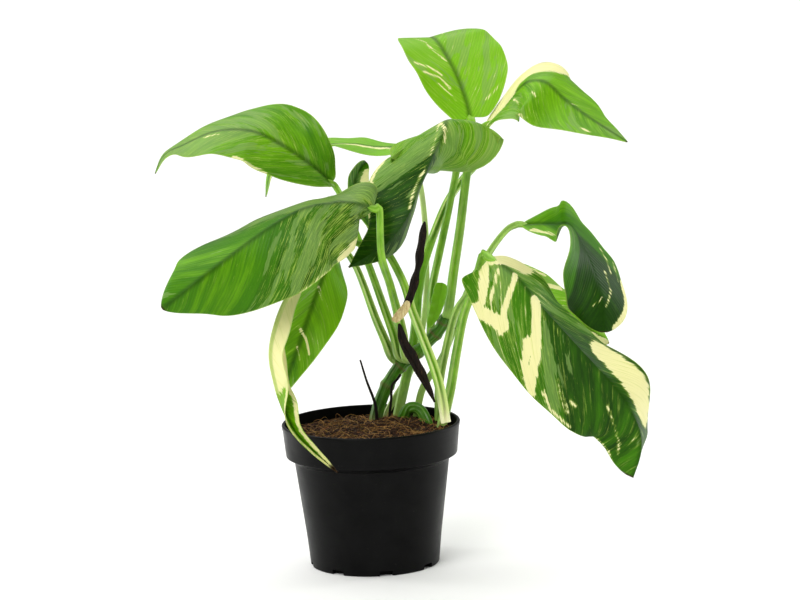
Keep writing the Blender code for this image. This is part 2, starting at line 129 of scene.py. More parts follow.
# The values of (share, value) keys at the given shares, eased from each key to the next.
def easedValue(keys, shares):
    spots = [spot for spot, _ in keys]
    values = [value for _, value in keys]
    made = np.full(np.shape(shares), values[0], float)
    for low, high, start, end in zip(spots, spots[1:], values, values[1:]):
        blend = np.clip((shares - low) / (high - low), 0, 1)
        made += (end - start) * blend**2 * (3 - 2 * blend)
    return made


def smoothStep(low, high, values):
    blend = np.clip((values - low) / (high - low), 0, 1)
    return blend**2 * (3 - 2 * blend)


def newObject(name, data):
    made = bpy.data.objects.new(name, data)
    bpy.context.scene.collection.objects.link(made)
    return made


def addObject(name, mesh, material, replaced=()):
    made = newObject(name, mesh)
    if material and not mesh.materials:
        mesh.materials.append(material)
    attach(made, "root")
    if replaced:
        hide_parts(*replaced)
    return made


def meshOf(name, points, faces, sharpAbove=50):
    mesh = bpy.data.meshes.new(name)
    mesh.from_pydata([tuple(point) for point in points], [], faces)
    mesh.shade_smooth()
    mesh.set_sharp_from_angle(angle=math.radians(sharpAbove))
    return mesh


def setAttribute(mesh, name, values):
    made = mesh.attributes.new(name, "FLOAT", "POINT")
    made.data.foreach_set("value", np.asarray(values, np.float32).ravel())


# A UV map from each point's own (u, v), in centimetres on the real thing.
def setUv(mesh, name, u, v):
    corners = np.zeros(len(mesh.loops), np.int32)
    mesh.loops.foreach_get("vertex_index", corners)
    pairs = np.stack([np.ravel(u)[corners], np.ravel(v)[corners]], axis=1)
    mesh.uv_layers.new(name=name).data.foreach_set("uv", pairs.astype(np.float32).ravel())


# Materials of the plant

# Living monstera leaf: a waxy cuticle over thin tissue, so it has a soft broad sheen, lets some light through
# and is paler and duller beneath. The veins run from the midrib out and towards the tip, and the cream and
# pale green sectors keep to them. The map's u crosses the veins and its v goes along them, in centimetres.
leafBlade = {
    "deepGreen": "#1B4200",
    "midGreen": "#438203",
    "freshGreen": "#82C410",
    "paleFleck": "#B9D65C",
    # grey-green of the marbling, also used as painted sheen on some leaves
    "greyGreenAndSheen": "#8AAE5A",
    "cream": "#F6F2B4",
    "creamShade": "#DCE088",
    "midribGreen": "#9CC24C",
    "underGreen": "#86B03C",
    "driedTip": "#3A2A16",
    "roughness": (0.34, 0.46),
    "throughLight": 0.22,
    "veinsPerCm": 3.1,
    # noise drawn out along the veins: cycles per centimetre across and along them, detail, roughness
    "noise": {
        "fray": (4.2, 0.65, 6.0, 0.66), "patches": (1.3, 0.35, 4.0, 0.65), "flecks": (10.0, 1.1, 4.0, 0.7),
        "blotches": (0.55, 0.3, 4.0, 0.58), "creamStreaks": (8.0, 0.6, 3.0, 0.6), "wax": (4.0, 2.0, 3.0, 0.5),
    },
    # masks: what each reads, the values at which it is none and full, and its strength
    "masks": {
        "creamSector": ("frayed", 1.19, 1.25, 1.0), "creamEdge": ("frayed", 0.98, 1.22, 0.4),
        # midTone and freshTone follow the tone, which is partly painted sheen and painted shade
        "midTone": ("tonedLightAndShade", 0.36, 0.86, 1.0), "freshTone": ("tonedLightAndShade", 0.8, 1.36, 1.0),
        # the blotch mask lays grey-green marbling, and where the marble is raised it paints sheen
        "fleck": ("flecked", 0.78, 0.85, 0.6), "greyBlotchAndSheen": ("blotchedAndSheen", 0.725, 0.75, 0.5),
        "vein": ("veins", 0.55, 1.0, 0.13),
        "creamStreak": ("creamStreaks", 0.5, 0.75, 1.0), "margin": ("fromMargin", 0.75, 0.25, 0.5),
        # the crease mask darkens along the midrib on the upper side: the midrib's dark line with painted
        # shade in its crease
        "creaseLineAndShade": ("creaseShadeReach", 3.2, 0.2, 0.6), "ribBeneath": ("ribbed", 2.4, 1.2, 0.6),
        "dull": ("dulled", 0.0, 1.0, 0.62), "dry": ("dried", 0.0, 1.0, 1.0),
    },
}


def makeLeafMaterial():
    made, tree = newMaterial("waxyMonsteraLeaf")
    color = {key: toLinear(value) for key, value in leafBlade.items() if isinstance(value, str)}
    read = {}
    for name in ("cream", "tone", "marble", "under", "fromMidrib", "fromMargin", "dried", "seed"):
        read[name] = addNode(tree, "ShaderNodeAttribute", {"attribute_name": name}, output=2)
    shift = addNode(tree, "ShaderNodeCombineXYZ", {}, {2: read["seed"]})
    onLeaf = addNode(tree, "ShaderNodeUVMap", {"uv_map": "veins"})
    place = addNode(tree, "ShaderNodeVectorMath", {"operation": "ADD"}, {0: onLeaf, 1: shift})
    for name, (across, along, detail, roughness) in leafBlade["noise"].items():
        drawn = addNode(tree, "ShaderNodeVectorMath", {"operation": "MULTIPLY"},
                        {0: place, 1: (across, along, 1)})
        read[name] = addNode(tree, "ShaderNodeTexNoise", {}, {
            "Vector": drawn, "Scale": 1.0, "Detail": detail, "Roughness": roughness})
    read["veins"] = addNode(tree, "ShaderNodeTexWave", {"wave_profile": "SIN"}, {
        "Vector": place, "Scale": leafBlade["veinsPerCm"] * math.pi / 10, "Distortion": 0.9, "Detail": 2.0,
        "Detail Scale": 0.6})
    # The painted fields, each pushed about by its noise, then masks cut from them
    for name, noise, factor, field in (
        ("frayed", "fray", 1.4, "cream"), ("tonedLightAndShade", "patches", 0.8, "tone"),
        ("flecked", "marble", 0.3, "flecks"), ("blotchedAndSheen", "marble", 0.28, "blotches"),
        ("creaseShadeReach", "under", 9.0, "fromMidrib"),
    ):
        read[name] = addNode(tree, "ShaderNodeMath", {"operation": "MULTIPLY_ADD"},
                             {0: read[noise], 1: factor, 2: read[field]})
    above = addNode(tree, "ShaderNodeMath", {"operation": "SUBTRACT"}, {0: 1.0, 1: read["under"]})
    read["ribbed"] = addNode(tree, "ShaderNodeMath", {"operation": "MULTIPLY_ADD"},
                             {0: above, 1: 9.0, 2: read["fromMidrib"]})
    read["dulled"] = addNode(tree, "ShaderNodeMath", {"operation": "SUBTRACT"},
                             {0: read["under"], 1: read["cream"]})
    mask = {}
    for name, (source, none, full, strength) in leafBlade["masks"].items():
        mask[name] = addNode(tree, "ShaderNodeMapRange", {"interpolation_type": "SMOOTHSTEP"},
                             {0: read[source], 1: none, 2: full, 3: 0.0, 4: strength})
    cream = addNode(tree, "ShaderNodeMix", {"data_type": "RGBA"},
                    {0: mask["creamStreak"], 6: color["cream"], 7: color["creamShade"]}, output=2)
    surface = color["deepGreen"]
    # Layers: the tone and grey-green blotches also paint sheen and shade, and the crease layer paints shade
    # along the midrib
    for name, layer in (
        ("midTone", color["midGreen"]), ("freshTone", color["freshGreen"]), ("fleck", color["paleFleck"]),
        ("greyBlotchAndSheen", color["greyGreenAndSheen"]), ("creamEdge", color["paleFleck"]), ("vein", color["deepGreen"]),
        ("creaseLineAndShade", color["deepGreen"]), ("creamSector", cream), ("margin", color["paleFleck"]),
        ("dull", color["underGreen"]), ("ribBeneath", color["midribGreen"]), ("dry", color["driedTip"]),
    ):
        surface = addNode(tree, "ShaderNodeMix", {"data_type": "RGBA"}, {0: mask[name], 6: surface, 7: layer},
                          output=2)
    low, high = leafBlade["roughness"]
    gloss = addNode(tree, "ShaderNodeMapRange", {}, {0: read["wax"], 1: 0.3, 2: 0.7, 3: low, 4: high})
    gloss = addNode(tree, "ShaderNodeMath", {"operation": "MULTIPLY_ADD"},
                    {0: read["under"], 1: 0.14, 2: gloss})
    relief = addNode(tree, "ShaderNodeMath", {"operation": "MULTIPLY_ADD"},
                     {0: read["flecks"], 1: 0.6, 2: read["veins"]})
    bump = addNode(tree, "ShaderNodeBump", {}, {"Strength": 0.5, "Distance": 0.12 * mm, "Height": relief})
    shader = addNode(tree, "ShaderNodeBsdfPrincipled", {}, {
        "IOR": 1.45, "Specular IOR Level": 0.16, "Base Color": surface, "Roughness": gloss, "Normal": bump})
    through = addNode(tree, "ShaderNodeBsdfTranslucent", {}, {"Color": surface, "Normal": bump})
    both = addNode(tree, "ShaderNodeMixShader", {}, {0: leafBlade["throughLight"], 1: shader, 2: through})
    addNode(tree, "ShaderNodeOutputMaterial", {}, {0: both})
    return made


# Living stalk: ribbed, smooth green tissue with pale lengthwise fibres, paler at the foot and on the thin
# margins of its sheath. The map's u goes along it and its v round it, in centimetres.
stalkSkin = {
    "green": "#8AC22E",
    "deepGreen": "#5F9A16",
    "pale": "#CFE08A",
    "foot": "#E9E6B8",
    "scar": "#6B5A34",
    "vineGreen": "#4C8618",
    "vineDeepGreen": "#2C5A0A",
    "roughness": 0.34,
}


def makeStalkMaterial(name, greenHex, deepHex):
    made, tree = newMaterial(name)
    along = addNode(tree, "ShaderNodeUVMap", {"uv_map": "fibres"})
    read = {}
    for attribute in ("pale", "ring", "lip", "seed"):
        read[attribute] = addNode(tree, "ShaderNodeAttribute", {"attribute_name": attribute}, output=2)
    shift = addNode(tree, "ShaderNodeCombineXYZ", {}, {2: read["seed"]})
    place = addNode(tree, "ShaderNodeVectorMath", {"operation": "ADD"}, {0: along, 1: shift})
    fibres = addNode(tree, "ShaderNodeVectorMath", {"operation": "MULTIPLY"}, {0: place, 1: (0.35, 9.0, 1.0)})
    streak = addNode(tree, "ShaderNodeTexNoise", {},
                     {"Vector": fibres, "Scale": 1.0, "Detail": 4.0, "Roughness": 0.6})
    greyBlotchAndSheen = addNode(tree, "ShaderNodeTexNoise", {}, {"Vector": place, "Scale": 0.9, "Detail": 3.0})
    color = addNode(tree, "ShaderNodeValToRGB", {}, {0: greyBlotchAndSheen},
                    stops=[(0.3, toLinear(deepHex)), (0.65, toLinear(greenHex))])
    streakMask = addNode(tree, "ShaderNodeMapRange", {"interpolation_type": "SMOOTHSTEP"},
                         {0: streak, 1: 0.5, 2: 0.72, 3: 0.0, 4: 0.22})
    layers = ((streakMask, "pale"), (read["pale"], "foot"), (read["lip"], "pale"), (read["ring"], "scar"))
    for mask, layer in layers:
        color = addNode(tree, "ShaderNodeMix", {"data_type": "RGBA"},
                        {0: mask, 6: color, 7: toLinear(stalkSkin[layer])}, output=2)
    finishSurface(tree, color, stalkSkin["roughness"], streak, 0.5, 0.2,
                  {"IOR": 1.45, "Specular IOR Level": 0.3})
    return made


# Dried sheath and root skin: papery brown fibres that have lost their gloss, streaked lengthwise and paler
# where the skin has split.
driedSkin = {"dark": "#0B0704", "mid": "#1C120A", "light": "#5A4227", "roughness": 0.72}
tornSkin = {"dark": "#A68C5A", "mid": "#CDC08A", "light": "#E6E2B8", "roughness": 0.6}


def makeDriedMaterial(name, skin):
    made, tree = newMaterial(name)
    place = addNode(tree, "ShaderNodeTexCoord", output=3)
    drawn = addNode(tree, "ShaderNodeVectorMath", {"operation": "MULTIPLY"}, {0: place, 1: (900, 900, 110)})
    streak = addNode(tree, "ShaderNodeTexNoise", {},
                     {"Vector": drawn, "Scale": 1.0, "Detail": 5.0, "Roughness": 0.65})
    color = addNode(tree, "ShaderNodeValToRGB", {}, {0: streak},
                    stops=[(0.35, toLinear(skin["dark"])), (0.8, toLinear(skin["light"])),
                           (0.6, toLinear(skin["mid"]))])
    finishSurface(tree, color, skin["roughness"], streak, 0.8, 0.3, {"Specular IOR Level": 0.15})
    return made


leafMaterial = makeLeafMaterial()
petioleMaterial = makeStalkMaterial("ribbedPetiole", stalkSkin["green"], stalkSkin["deepGreen"])
vineMaterial = makeStalkMaterial("vineStem", stalkSkin["vineGreen"], stalkSkin["vineDeepGreen"])
driedMaterial = makeDriedMaterial("driedSheath", driedSkin)
tornMaterial = makeDriedMaterial("tornSheath", tornSkin)
print("plant materials made")


# Leaves

# A leaf's tone is partly painted light: raised where the leaf shows sheen and lowered where it sits in shade.
leaves = [
    {  # arches up and to the left, with a drip tip
        "name": "blade_upper_left",
        "midrib": [
            (-21, 0, 168), (-34, -10, 182), (-54, -15, 197), (-73, -15, 206), (-96, -13, 206),
            (-118, -10, 197), (-130, -11, 191), (-137, -12, 179),
        ],
        "faces": [(0, (-0.5, -0.55, 0.7)), (0.5, (-0.5, -0.6, 0.63)), (1, (-0.76, -0.2, 0.6))], "width": 34,
        "widest": 0.5, "round": 0.8, "lobe": 4,
        "left": {"width": 31, "fold": [(0, 8), (0.5, 18), (1, 13)], "curl": [(0, 12), (1, -16)]},
        "right": {"fold": [(0, 40), (0.5, -27), (1, 4)], "curl": [(0, 20), (1, -38)]},
        "tone": [(0, 0.58), (0.5, 0.7), (1, 0.5)], "marble": [(-0.3, 0.5), (0.3, 0.75), (0.6, 0.9)],
        "speckle": [(0, 0.2)],
        "cream": [(1.6, [(0.53, -0.98), (0.44, -1), (0.34, -1)]), (0.9, [(0.69, -0.17), (0.62, -0.17)])],
    },
    {  # seen edge-on behind the first, its tip hanging
        "name": "blade_behind_left",
        "midrib": [
            (24, 40, 186), (9, 46, 186), (-7, 50, 188), (-25, 54, 187), (-46, 56, 182), (-62, 55, 171),
            (-67, 52, 153),
        ],
        "faces": [(0, (0, -0.05, 1)), (0.6, (-0.1, -0.1, 1)), (1, (-0.95, -0.2, 0.2))], "width": 22,
        "left": {"fold": [(0, -18), (0.4, 8), (1, 0)]}, "right": {"fold": [(0, 0)]}, "tone": [(0, 0.9)],
        "marble": [(0, 0.5)], "speckle": [(0, 0.25)], "cream": [(1.5, [(0, -1), (0.9, -1)])],
    },
    {  # the large one at the front, reaching left
        "name": "blade_middle_left",
        "midrib": [
            (7, -55, 157), (-7, -66, 163), (-21, -72, 164), (-40, -78, 161), (-65, -86, 148),
            (-92, -94, 130), (-111, -102, 117), (-130, -101, 103),
        ],
        "faces": [(0, (-0.7, -0.65, 0.3)), (0.5, (0.22, -0.57, 0.8)), (1, (0.44, -0.77, 0.46))],
        "widest": 0.43, "left": {"width": 47, "fold": [(0, 5), (1, -34)], "curl": [(0, -66), (1, -14)]},
        "right": {"width": 41, "fold": [(0, -38), (1, -28)], "curl": [(0, -27), (1, -22)]},
        "tone": [(0, 0.2), (0.35, 0.3), (0.6, 0.6), (1, 0.45)], "speckle": [(0, 0.24), (0.5, 0.16)],
        "marble": [(-0.5, 0.7), (0.0, 0.95), (0.33, 0.85), (0.45, 0.5), (1, 0.4)],
        "cream": [
            (3, [(0.21, -0.97), (0.16, -0.94), (0.08, -0.9)]), (0.9, [(0.52, -1), (0.4, -1), (0.25, -1)]),
        ],
    },
    {  # hangs behind the large left one
        "name": "blade_hanging",
        "midrib": [(-24, -12, 131), (-26, -33, 116), (-34, -42, 96), (-45, -46, 67), (-57, -47, 34)],
        "faces": [(0, (0.16, -0.77, 0.62)), (1, (-0.3, -0.93, 0.22))], "width": 23, "widest": 0.27,
        "round": 0.28, "left": {"fold": [(0, -48), (1, 22)], "curl": [(0, -23), (1, 3)]},
        "right": {"fold": [(0, -52), (1, 5)], "curl": [(0, -26), (1, -5)]}, "tone": [(0, 0.9), (1, 0.6)],
        "marble": [(0, 0.4)], "speckle": [(0, 0.26)],
        "cream": [
            (1, [(0.6, 0.2), (0.65, -0.2), (0.72, -0.6)]), (0.6, [(0.34, 0.05), (0.41, -0.2)]),
            (0.6, [(0.7, 0.1), (0.77, -0.3)]),
        ],
    },
    {  # folded along its midrib, its dried tip in front of the pot
        "name": "blade_folded",
        "midrib": [
            (-43, -52, 111), (-53, -60, 98), (-60, -66, 81), (-63, -69, 65), (-61, -71, 49), (-57, -72, 33),
            (-49, -72, 15), (-39, -71, 3), (-30, -70, -6), (-22, -69, -14),
        ],
        "faces": [
            (0, (0.75, 0.6, 0.25)), (0.5, (0.97, -0.1, 0.2)), (0.72, (0.2, -0.95, 0.28)),
            (1, (0, -0.96, 0.3)),
        ],
        "width": 11, "widest": 0.4, "round": 0.45, "lobe": 2,
        "left": {"fold": [(0, 55), (0.6, 55), (0.75, 65)]},
        "right": {"fold": [(0, 55), (0.6, 55), (0.75, 65)]}, "tone": [(0, 0.7)], "marble": [(0, 0.3)],
        "speckle": [(0, 0.1)], "dried": (0.93, 0.97),
        "cream": [(14, [(0, 0), (0.45, 0)]), (1.6, [(0.5, -1), (0.97, -1)]), (1.6, [(0.5, 1), (0.97, 1)])],
    },
    {  # comes over its petiole and hangs towards the front, its margins rolled under
        "name": "blade_drooping",
        "midrib": [
            (62, 8, 177), (60, 0, 195), (57, -12, 209), (54, -26, 202), (45, -36, 184), (37, -39, 167),
            (31, -40, 153), (22, -42, 140), (13, -43, 131), (1, -43, 124), (-11, -42, 117),
        ],
        "faces": [
            (0, (0, 0.95, 0.3)), (0.2, (0, 0.1, 1)), (0.33, (0, -0.7, 0.7)), (0.6, (-0.2, -0.93, 0.3)),
            (1, (-0.1, -0.9, 0.4)),
        ],
        "widest": 0.33, "lobe": 4,
        "left": {
            "width": 42, "fold": [(0, -10), (0.26, 2), (0.34, -45), (0.42, -78), (0.52, -100), (1, -60)],
            "curl": [(0, -40), (0.3, -50), (0.5, -40), (1, 0)],
        },
        "right": {
            "width": 50, "fold": [(0, -20), (0.3, -28), (0.45, -20), (0.7, 0), (1, -10)],
            "curl": [(0, -20), (0.3, -30), (0.45, -50), (0.7, -20), (1, 0)],
        },
        # tone and marble are raised near the base for a painted grey-green sheen on its arch
        "tone": [(0, 0.68), (0.28, 0.55), (0.45, 0.08), (1, 0.05)], "speckle": [(0, 0.12), (0.4, 0.17)],
        "marble": [(0, 0.95), (0.3, 0.9), (0.5, 0.6), (1, 0.4)],
        "cream": [
            (1.2, [(0.26, 0.08), (0.33, -0.04), (0.36, -0.08)]),
            (0.7, [(0.27, 0.12), (0.36, 0.08), (0.44, 0.04)]),
            (0.8, [(0.49, 0.04), (0.59, 0.08), (0.66, 0.04)]), (1.6, [(0.5, 1), (0.8, 1)]),
        ],
    },
    {  # stands up and arches back over the top
        "name": "blade_top",
        "midrib": [
            (73, 21, 206), (71, 30, 216), (66, 41, 231), (60, 52, 243), (53, 66, 254), (48, 79, 256),
            (41, 89, 251),
        ],
        "faces": [(0, (-0.2, -0.8, 0.54)), (0.5, (0.08, -0.7, 0.7)), (1, (-0.22, -0.05, 1))],
        "widest": 0.52, "round": 0.52, "left": {"width": 31, "fold": [(0, 23), (1, 15)]},
        "right": {"width": 38, "fold": [(0, 9), (1, -3)], "curl": [(0, -6), (1, -4)]},
        "tone": [(0, 0.95), (1, 0.9)], "marble": [(0, 0.65)], "speckle": [(0, 0.27)],
        "cream": [
            (0.6, [(0.79, -0.62), (0.71, -0.33), (0.6, -0.25)]),
            (0.6, [(0.64, -0.3), (0.56, -0.17), (0.5, -0.08)]),
            (1.1, [(0.5, -0.88), (0.45, -0.62), (0.38, -0.38)]),
            (1, [(0.41, -0.8), (0.35, -0.46), (0.26, -0.33)]),
            (0.8, [(0.31, -0.58), (0.23, -0.42), (0.16, -0.33)]),
            (0.8, [(0.11, 0.58), (0.15, 0.75), (0.19, 0.88)]),
        ],
    },
    {  # half cream, at the upper right
        "name": "blade_top_right",
        "midrib": [
            (84, 14, 202), (96, 13, 214), (104, 9, 224), (112, 2, 231), (123, -6, 231), (135, -12, 220),
            (151, -23, 208), (174, -35, 193),
        ],
        "faces": [(0, (-0.78, -0.05, 0.62)), (0.5, (0.13, -0.82, 0.55)), (1, (0.3, -0.28, 0.9))],
        "width": 34, "widest": 0.41, "round": 0.56, "lobe": 4,
        "left": {"fold": [(0, 18), (0.5, -31), (1, -11)], "curl": [(0, -44), (1, -4)]},
        "right": {"fold": [(0, 10), (1, 0)], "curl": [(0, -13), (1, 2)]},
        "tone": [(0, 0.65), (0.5, 0.75), (1, 0.7)], "marble": [(0, 0.75), (0.5, 0.55)],
        "speckle": [(0, 0.22)],
        "cream": [
            (9, [(0.0, -0.3), (0.27, -0.45), (0.37, -0.75)]), (4, [(0.42, -1), (0.2, -0.1)]),
            (1, [(0.41, 0.33), (0.47, 0.42)]), (1, [(0.22, 0.25), (0.29, 0.58)]),
            (1.2, [(0.49, 0.97), (0.53, 0.97)]), (1, [(0.78, 0.67), (0.83, 0.75)]),
            (0.6, [(0.63, -0.04), (0.7, -0.42)]),
        ],
    },
    {  # the large cream and green one at the front right
        "name": "blade_right_large",
        "midrib": [
            (81, -44, 121), (88, -49, 118), (99, -54, 109), (116, -60, 88), (135, -64, 66), (154, -66, 44),
            (168, -68, 25), (176, -68, 7), (176, -67, -9), (171, -64, -25),
        ],
        "faces": [(0, (-0.3, -0.8, 0.5)), (0.4, (-0.35, -0.9, 0.2)), (1, (-0.35, -0.94, 0))],
        "widest": 0.47, "round": 0.42, "lobe": 22,
        "left": {
            "width": 31, "lobe": 3,
            "fold": [(0, -55), (0.15, -64), (0.3, -80), (0.5, -78), (0.67, -56), (0.85, -95), (1, -120)],
        },
        "right": {"width": 50, "fold": [(0, 0)], "curl": [(0, -35), (0.5, -32), (0.75, -22), (1, 0)]},
        "tone": [(0, 0.4), (0.25, 0.3), (0.35, 0.08), (0.7, 0.15), (1, 0.35)],
        "speckle": [(-0.4, 0.1), (-0.1, 0.3), (0.28, 0.3), (0.4, 0.2)],
        "marble": [(0, 0.75), (0.3, 0.5), (0.6, 0.4)],
        "cream": [
            (2.2, [(0.01, 0.37), (0.07, 0.58), (0.14, 0.88)]),
            (1.1, [(0.06, 0.17), (0.13, 0.62), (0.22, 0.79)]),
            (4.6, [(0.13, 0.98), (0.18, 0.78), (0.22, 0.66)]),
            (1.8, [(0.12, 0), (0.17, 0.37), (0.24, 0.75)]),
            (3, [(0.23, 0.0), (0.27, 0.12), (0.36, 0.45), (0.45, 0.88)]),
            (2.6, [(0.32, 0.46), (0.38, 0.76), (0.47, 0.97)]),
            (1.3, [(0.49, 0.8), (0.56, 0.93), (0.67, 0.96)]),
            (0.9, [(0.49, 0.5), (0.56, 0.67), (0.61, 0.78)]), (1.2, [(0.59, 0.6), (0.61, 0.62)]),
            (0.7, [(0.68, 0.25), (0.8, 0.42), (0.94, 0.62)]), (0.6, [(0.86, 1), (0.97, 1)]),
            (9.5, [(0.53, -0.6), (0.66, -0.55), (0.78, -0.6)]), (9, [(0.0, -0.9), (0.1, -0.8)]),
        ],
    },
    {  # level at first, then bent down and forward at the right
        "name": "blade_right_arching",
        "midrib": [
            (106, 8, 135), (117, 1, 136), (127, -3, 136), (137, -6, 135), (146, -10, 119), (153, -15, 100),
            (157, -18, 82), (157, -22, 65),
        ],
        "faces": [
            (0, (-0.32, -0.78, 0.53)), (0.35, (0.9, -0.4, 0.2)), (0.6, (0.75, -0.6, 0.3)),
            (1, (0.42, -0.83, 0.37)),
        ],
        "width": 30, "widest": 0.6, "round": 0.9, "lobe": 3,
        "left": {"fold": [(0, -12), (0.35, 2), (1, -4)], "curl": [(0, -18), (1, -14)]},
        "right": {"fold": [(0, 25), (1, -20)], "curl": [(0, 18), (1, -10)]},
        # past the bend its tone falls to deep green: painted shade on the hanging part
        "tone": [(0, 0.7), (0.33, 0.3), (0.45, 0.0), (1, 0.02)], "marble": [(0, 0.4), (0.45, 0.12)],
        "speckle": [(0, 0.14)],
        "cream": [
            (2.4, [(0.74, -1), (0.85, -1), (0.97, -0.95)]),
            (0.7, [(0.64, -0.38), (0.76, -0.38), (0.84, -0.1)]), (0.7, [(0.6, -0.88), (0.72, -0.83)]),
            (0.6, [(0.83, 0.3), (0.79, 0)]), (1.4, [(0.1, 0.75), (0.22, 0.67)]),
            (0.8, [(0.5, -0.7), (0.66, -0.6)]),
        ],
    },
    {  # behind the large right one
        "name": "blade_right_behind",
        "midrib": [(79, 8, 103), (96, 10, 98), (110, 11, 89), (125, 11, 78), (141, 11, 67), (162, 10, 52)],
        "faces": [(0, (-0.1, -0.75, 0.65))], "width": 25, "widest": 0.4,
        "left": {"fold": [(0, -18)], "curl": [(0, -20)]}, "right": {"fold": [(0, 15)]}, "tone": [(0, 0.95)],
        "marble": [(0, 0.7)], "speckle": [(0, 0.3)],
        "cream": [
            (2, [(0.3, -0.33), (0.42, -0.5), (0.53, -0.88)]), (1.4, [(0.29, -0.88), (0.39, -0.88)]),
            (1.2, [(0.47, -0.04), (0.6, 0.04)]), (3, [(0.02, -0.6), (0.1, -0.8)]),
            (2, [(0.8, 0.2), (1, 0)]),
        ],
    },
    {  # small, upright and half rolled, behind the large left one
        "name": "blade_small_upright",
        "midrib": [(6, -18, 137), (2, -4, 142), (-3, 12, 152), (-6, 23, 162), (-3, 31, 171), (2, 38, 177)],
        "faces": [(0, (0.4, -0.8, 0.4)), (1, (0.6, -0.8, 0.1))], "width": 11, "widest": 0.5, "lobe": 2,
        "left": {"width": 9, "fold": [(0, 20)]}, "right": {"fold": [(0, 40)]},
        "tone": [(0, 0.45), (1, 0.4)], "marble": [(0, 0.6)], "speckle": [(0, 0.25)],
        "cream": [(2.6, [(0.2, 0.9), (0.6, 0.6), (0.9, 0.9)])],
    },
]

sheaths = [
    {  # a short green sheath, open towards the front
        "name": "sheath_short", "midrib": [(41, 14, 66), (46, 12, 77), (49, 11, 87), (51, 10, 97)],
        "faces": [(0, (-0.2, -1, 0.1))], "width": 6, "widest": 0.75, "lobe": 0, "left": {"fold": [(0, 40)]},
        "right": {"fold": [(0, 40)]},
    },
    {  # a dried brown sheath
        "name": "sheath_dry_upper",
        "midrib": [(40, -30, 144), (37, -40, 133), (32, -46, 111), (27, -48, 94), (21, -48, 83)],
        "faces": [(0, (0.3, -1, 0)), (0.5, (0.8, -0.6, 0)), (1, (0.2, -1, 0))], "width": 4, "widest": 0.5,
        "lobe": 0, "left": {"fold": [(0, 25)]}, "right": {"fold": [(0, 25)]},
    },
    {
        "name": "sheath_dry_lower",
        "midrib": [(21, -48, 80), (23, -48, 68), (29, -46, 56), (37, -45, 40), (43, -44, 26)],
        "faces": [(0, (0.5, -0.9, 0.1)), (1, (0.3, -1, 0))], "width": 4, "widest": 0.4, "lobe": 0,
        "left": {"fold": [(0, 25)]}, "right": {"fold": [(0, 25)]},
    },
    {  # pale scrap where the dried sheath has torn
        "name": "sheath_torn",
        "midrib": [(27.5, -50, 95), (25.5, -51.5, 91), (21.5, -52.5, 86.5), (17.5, -52, 82)],
        "faces": [(0, (0.2, -1, 0.2)), (1, (-0.3, -1, -0.1))], "width": 3.4, "widest": 0.6, "round": 0.4,
        "lobe": 0, "left": {"fold": [(0, 15), (1, -30)]}, "right": {"fold": [(0, 25), (1, 45)]},
    },
]

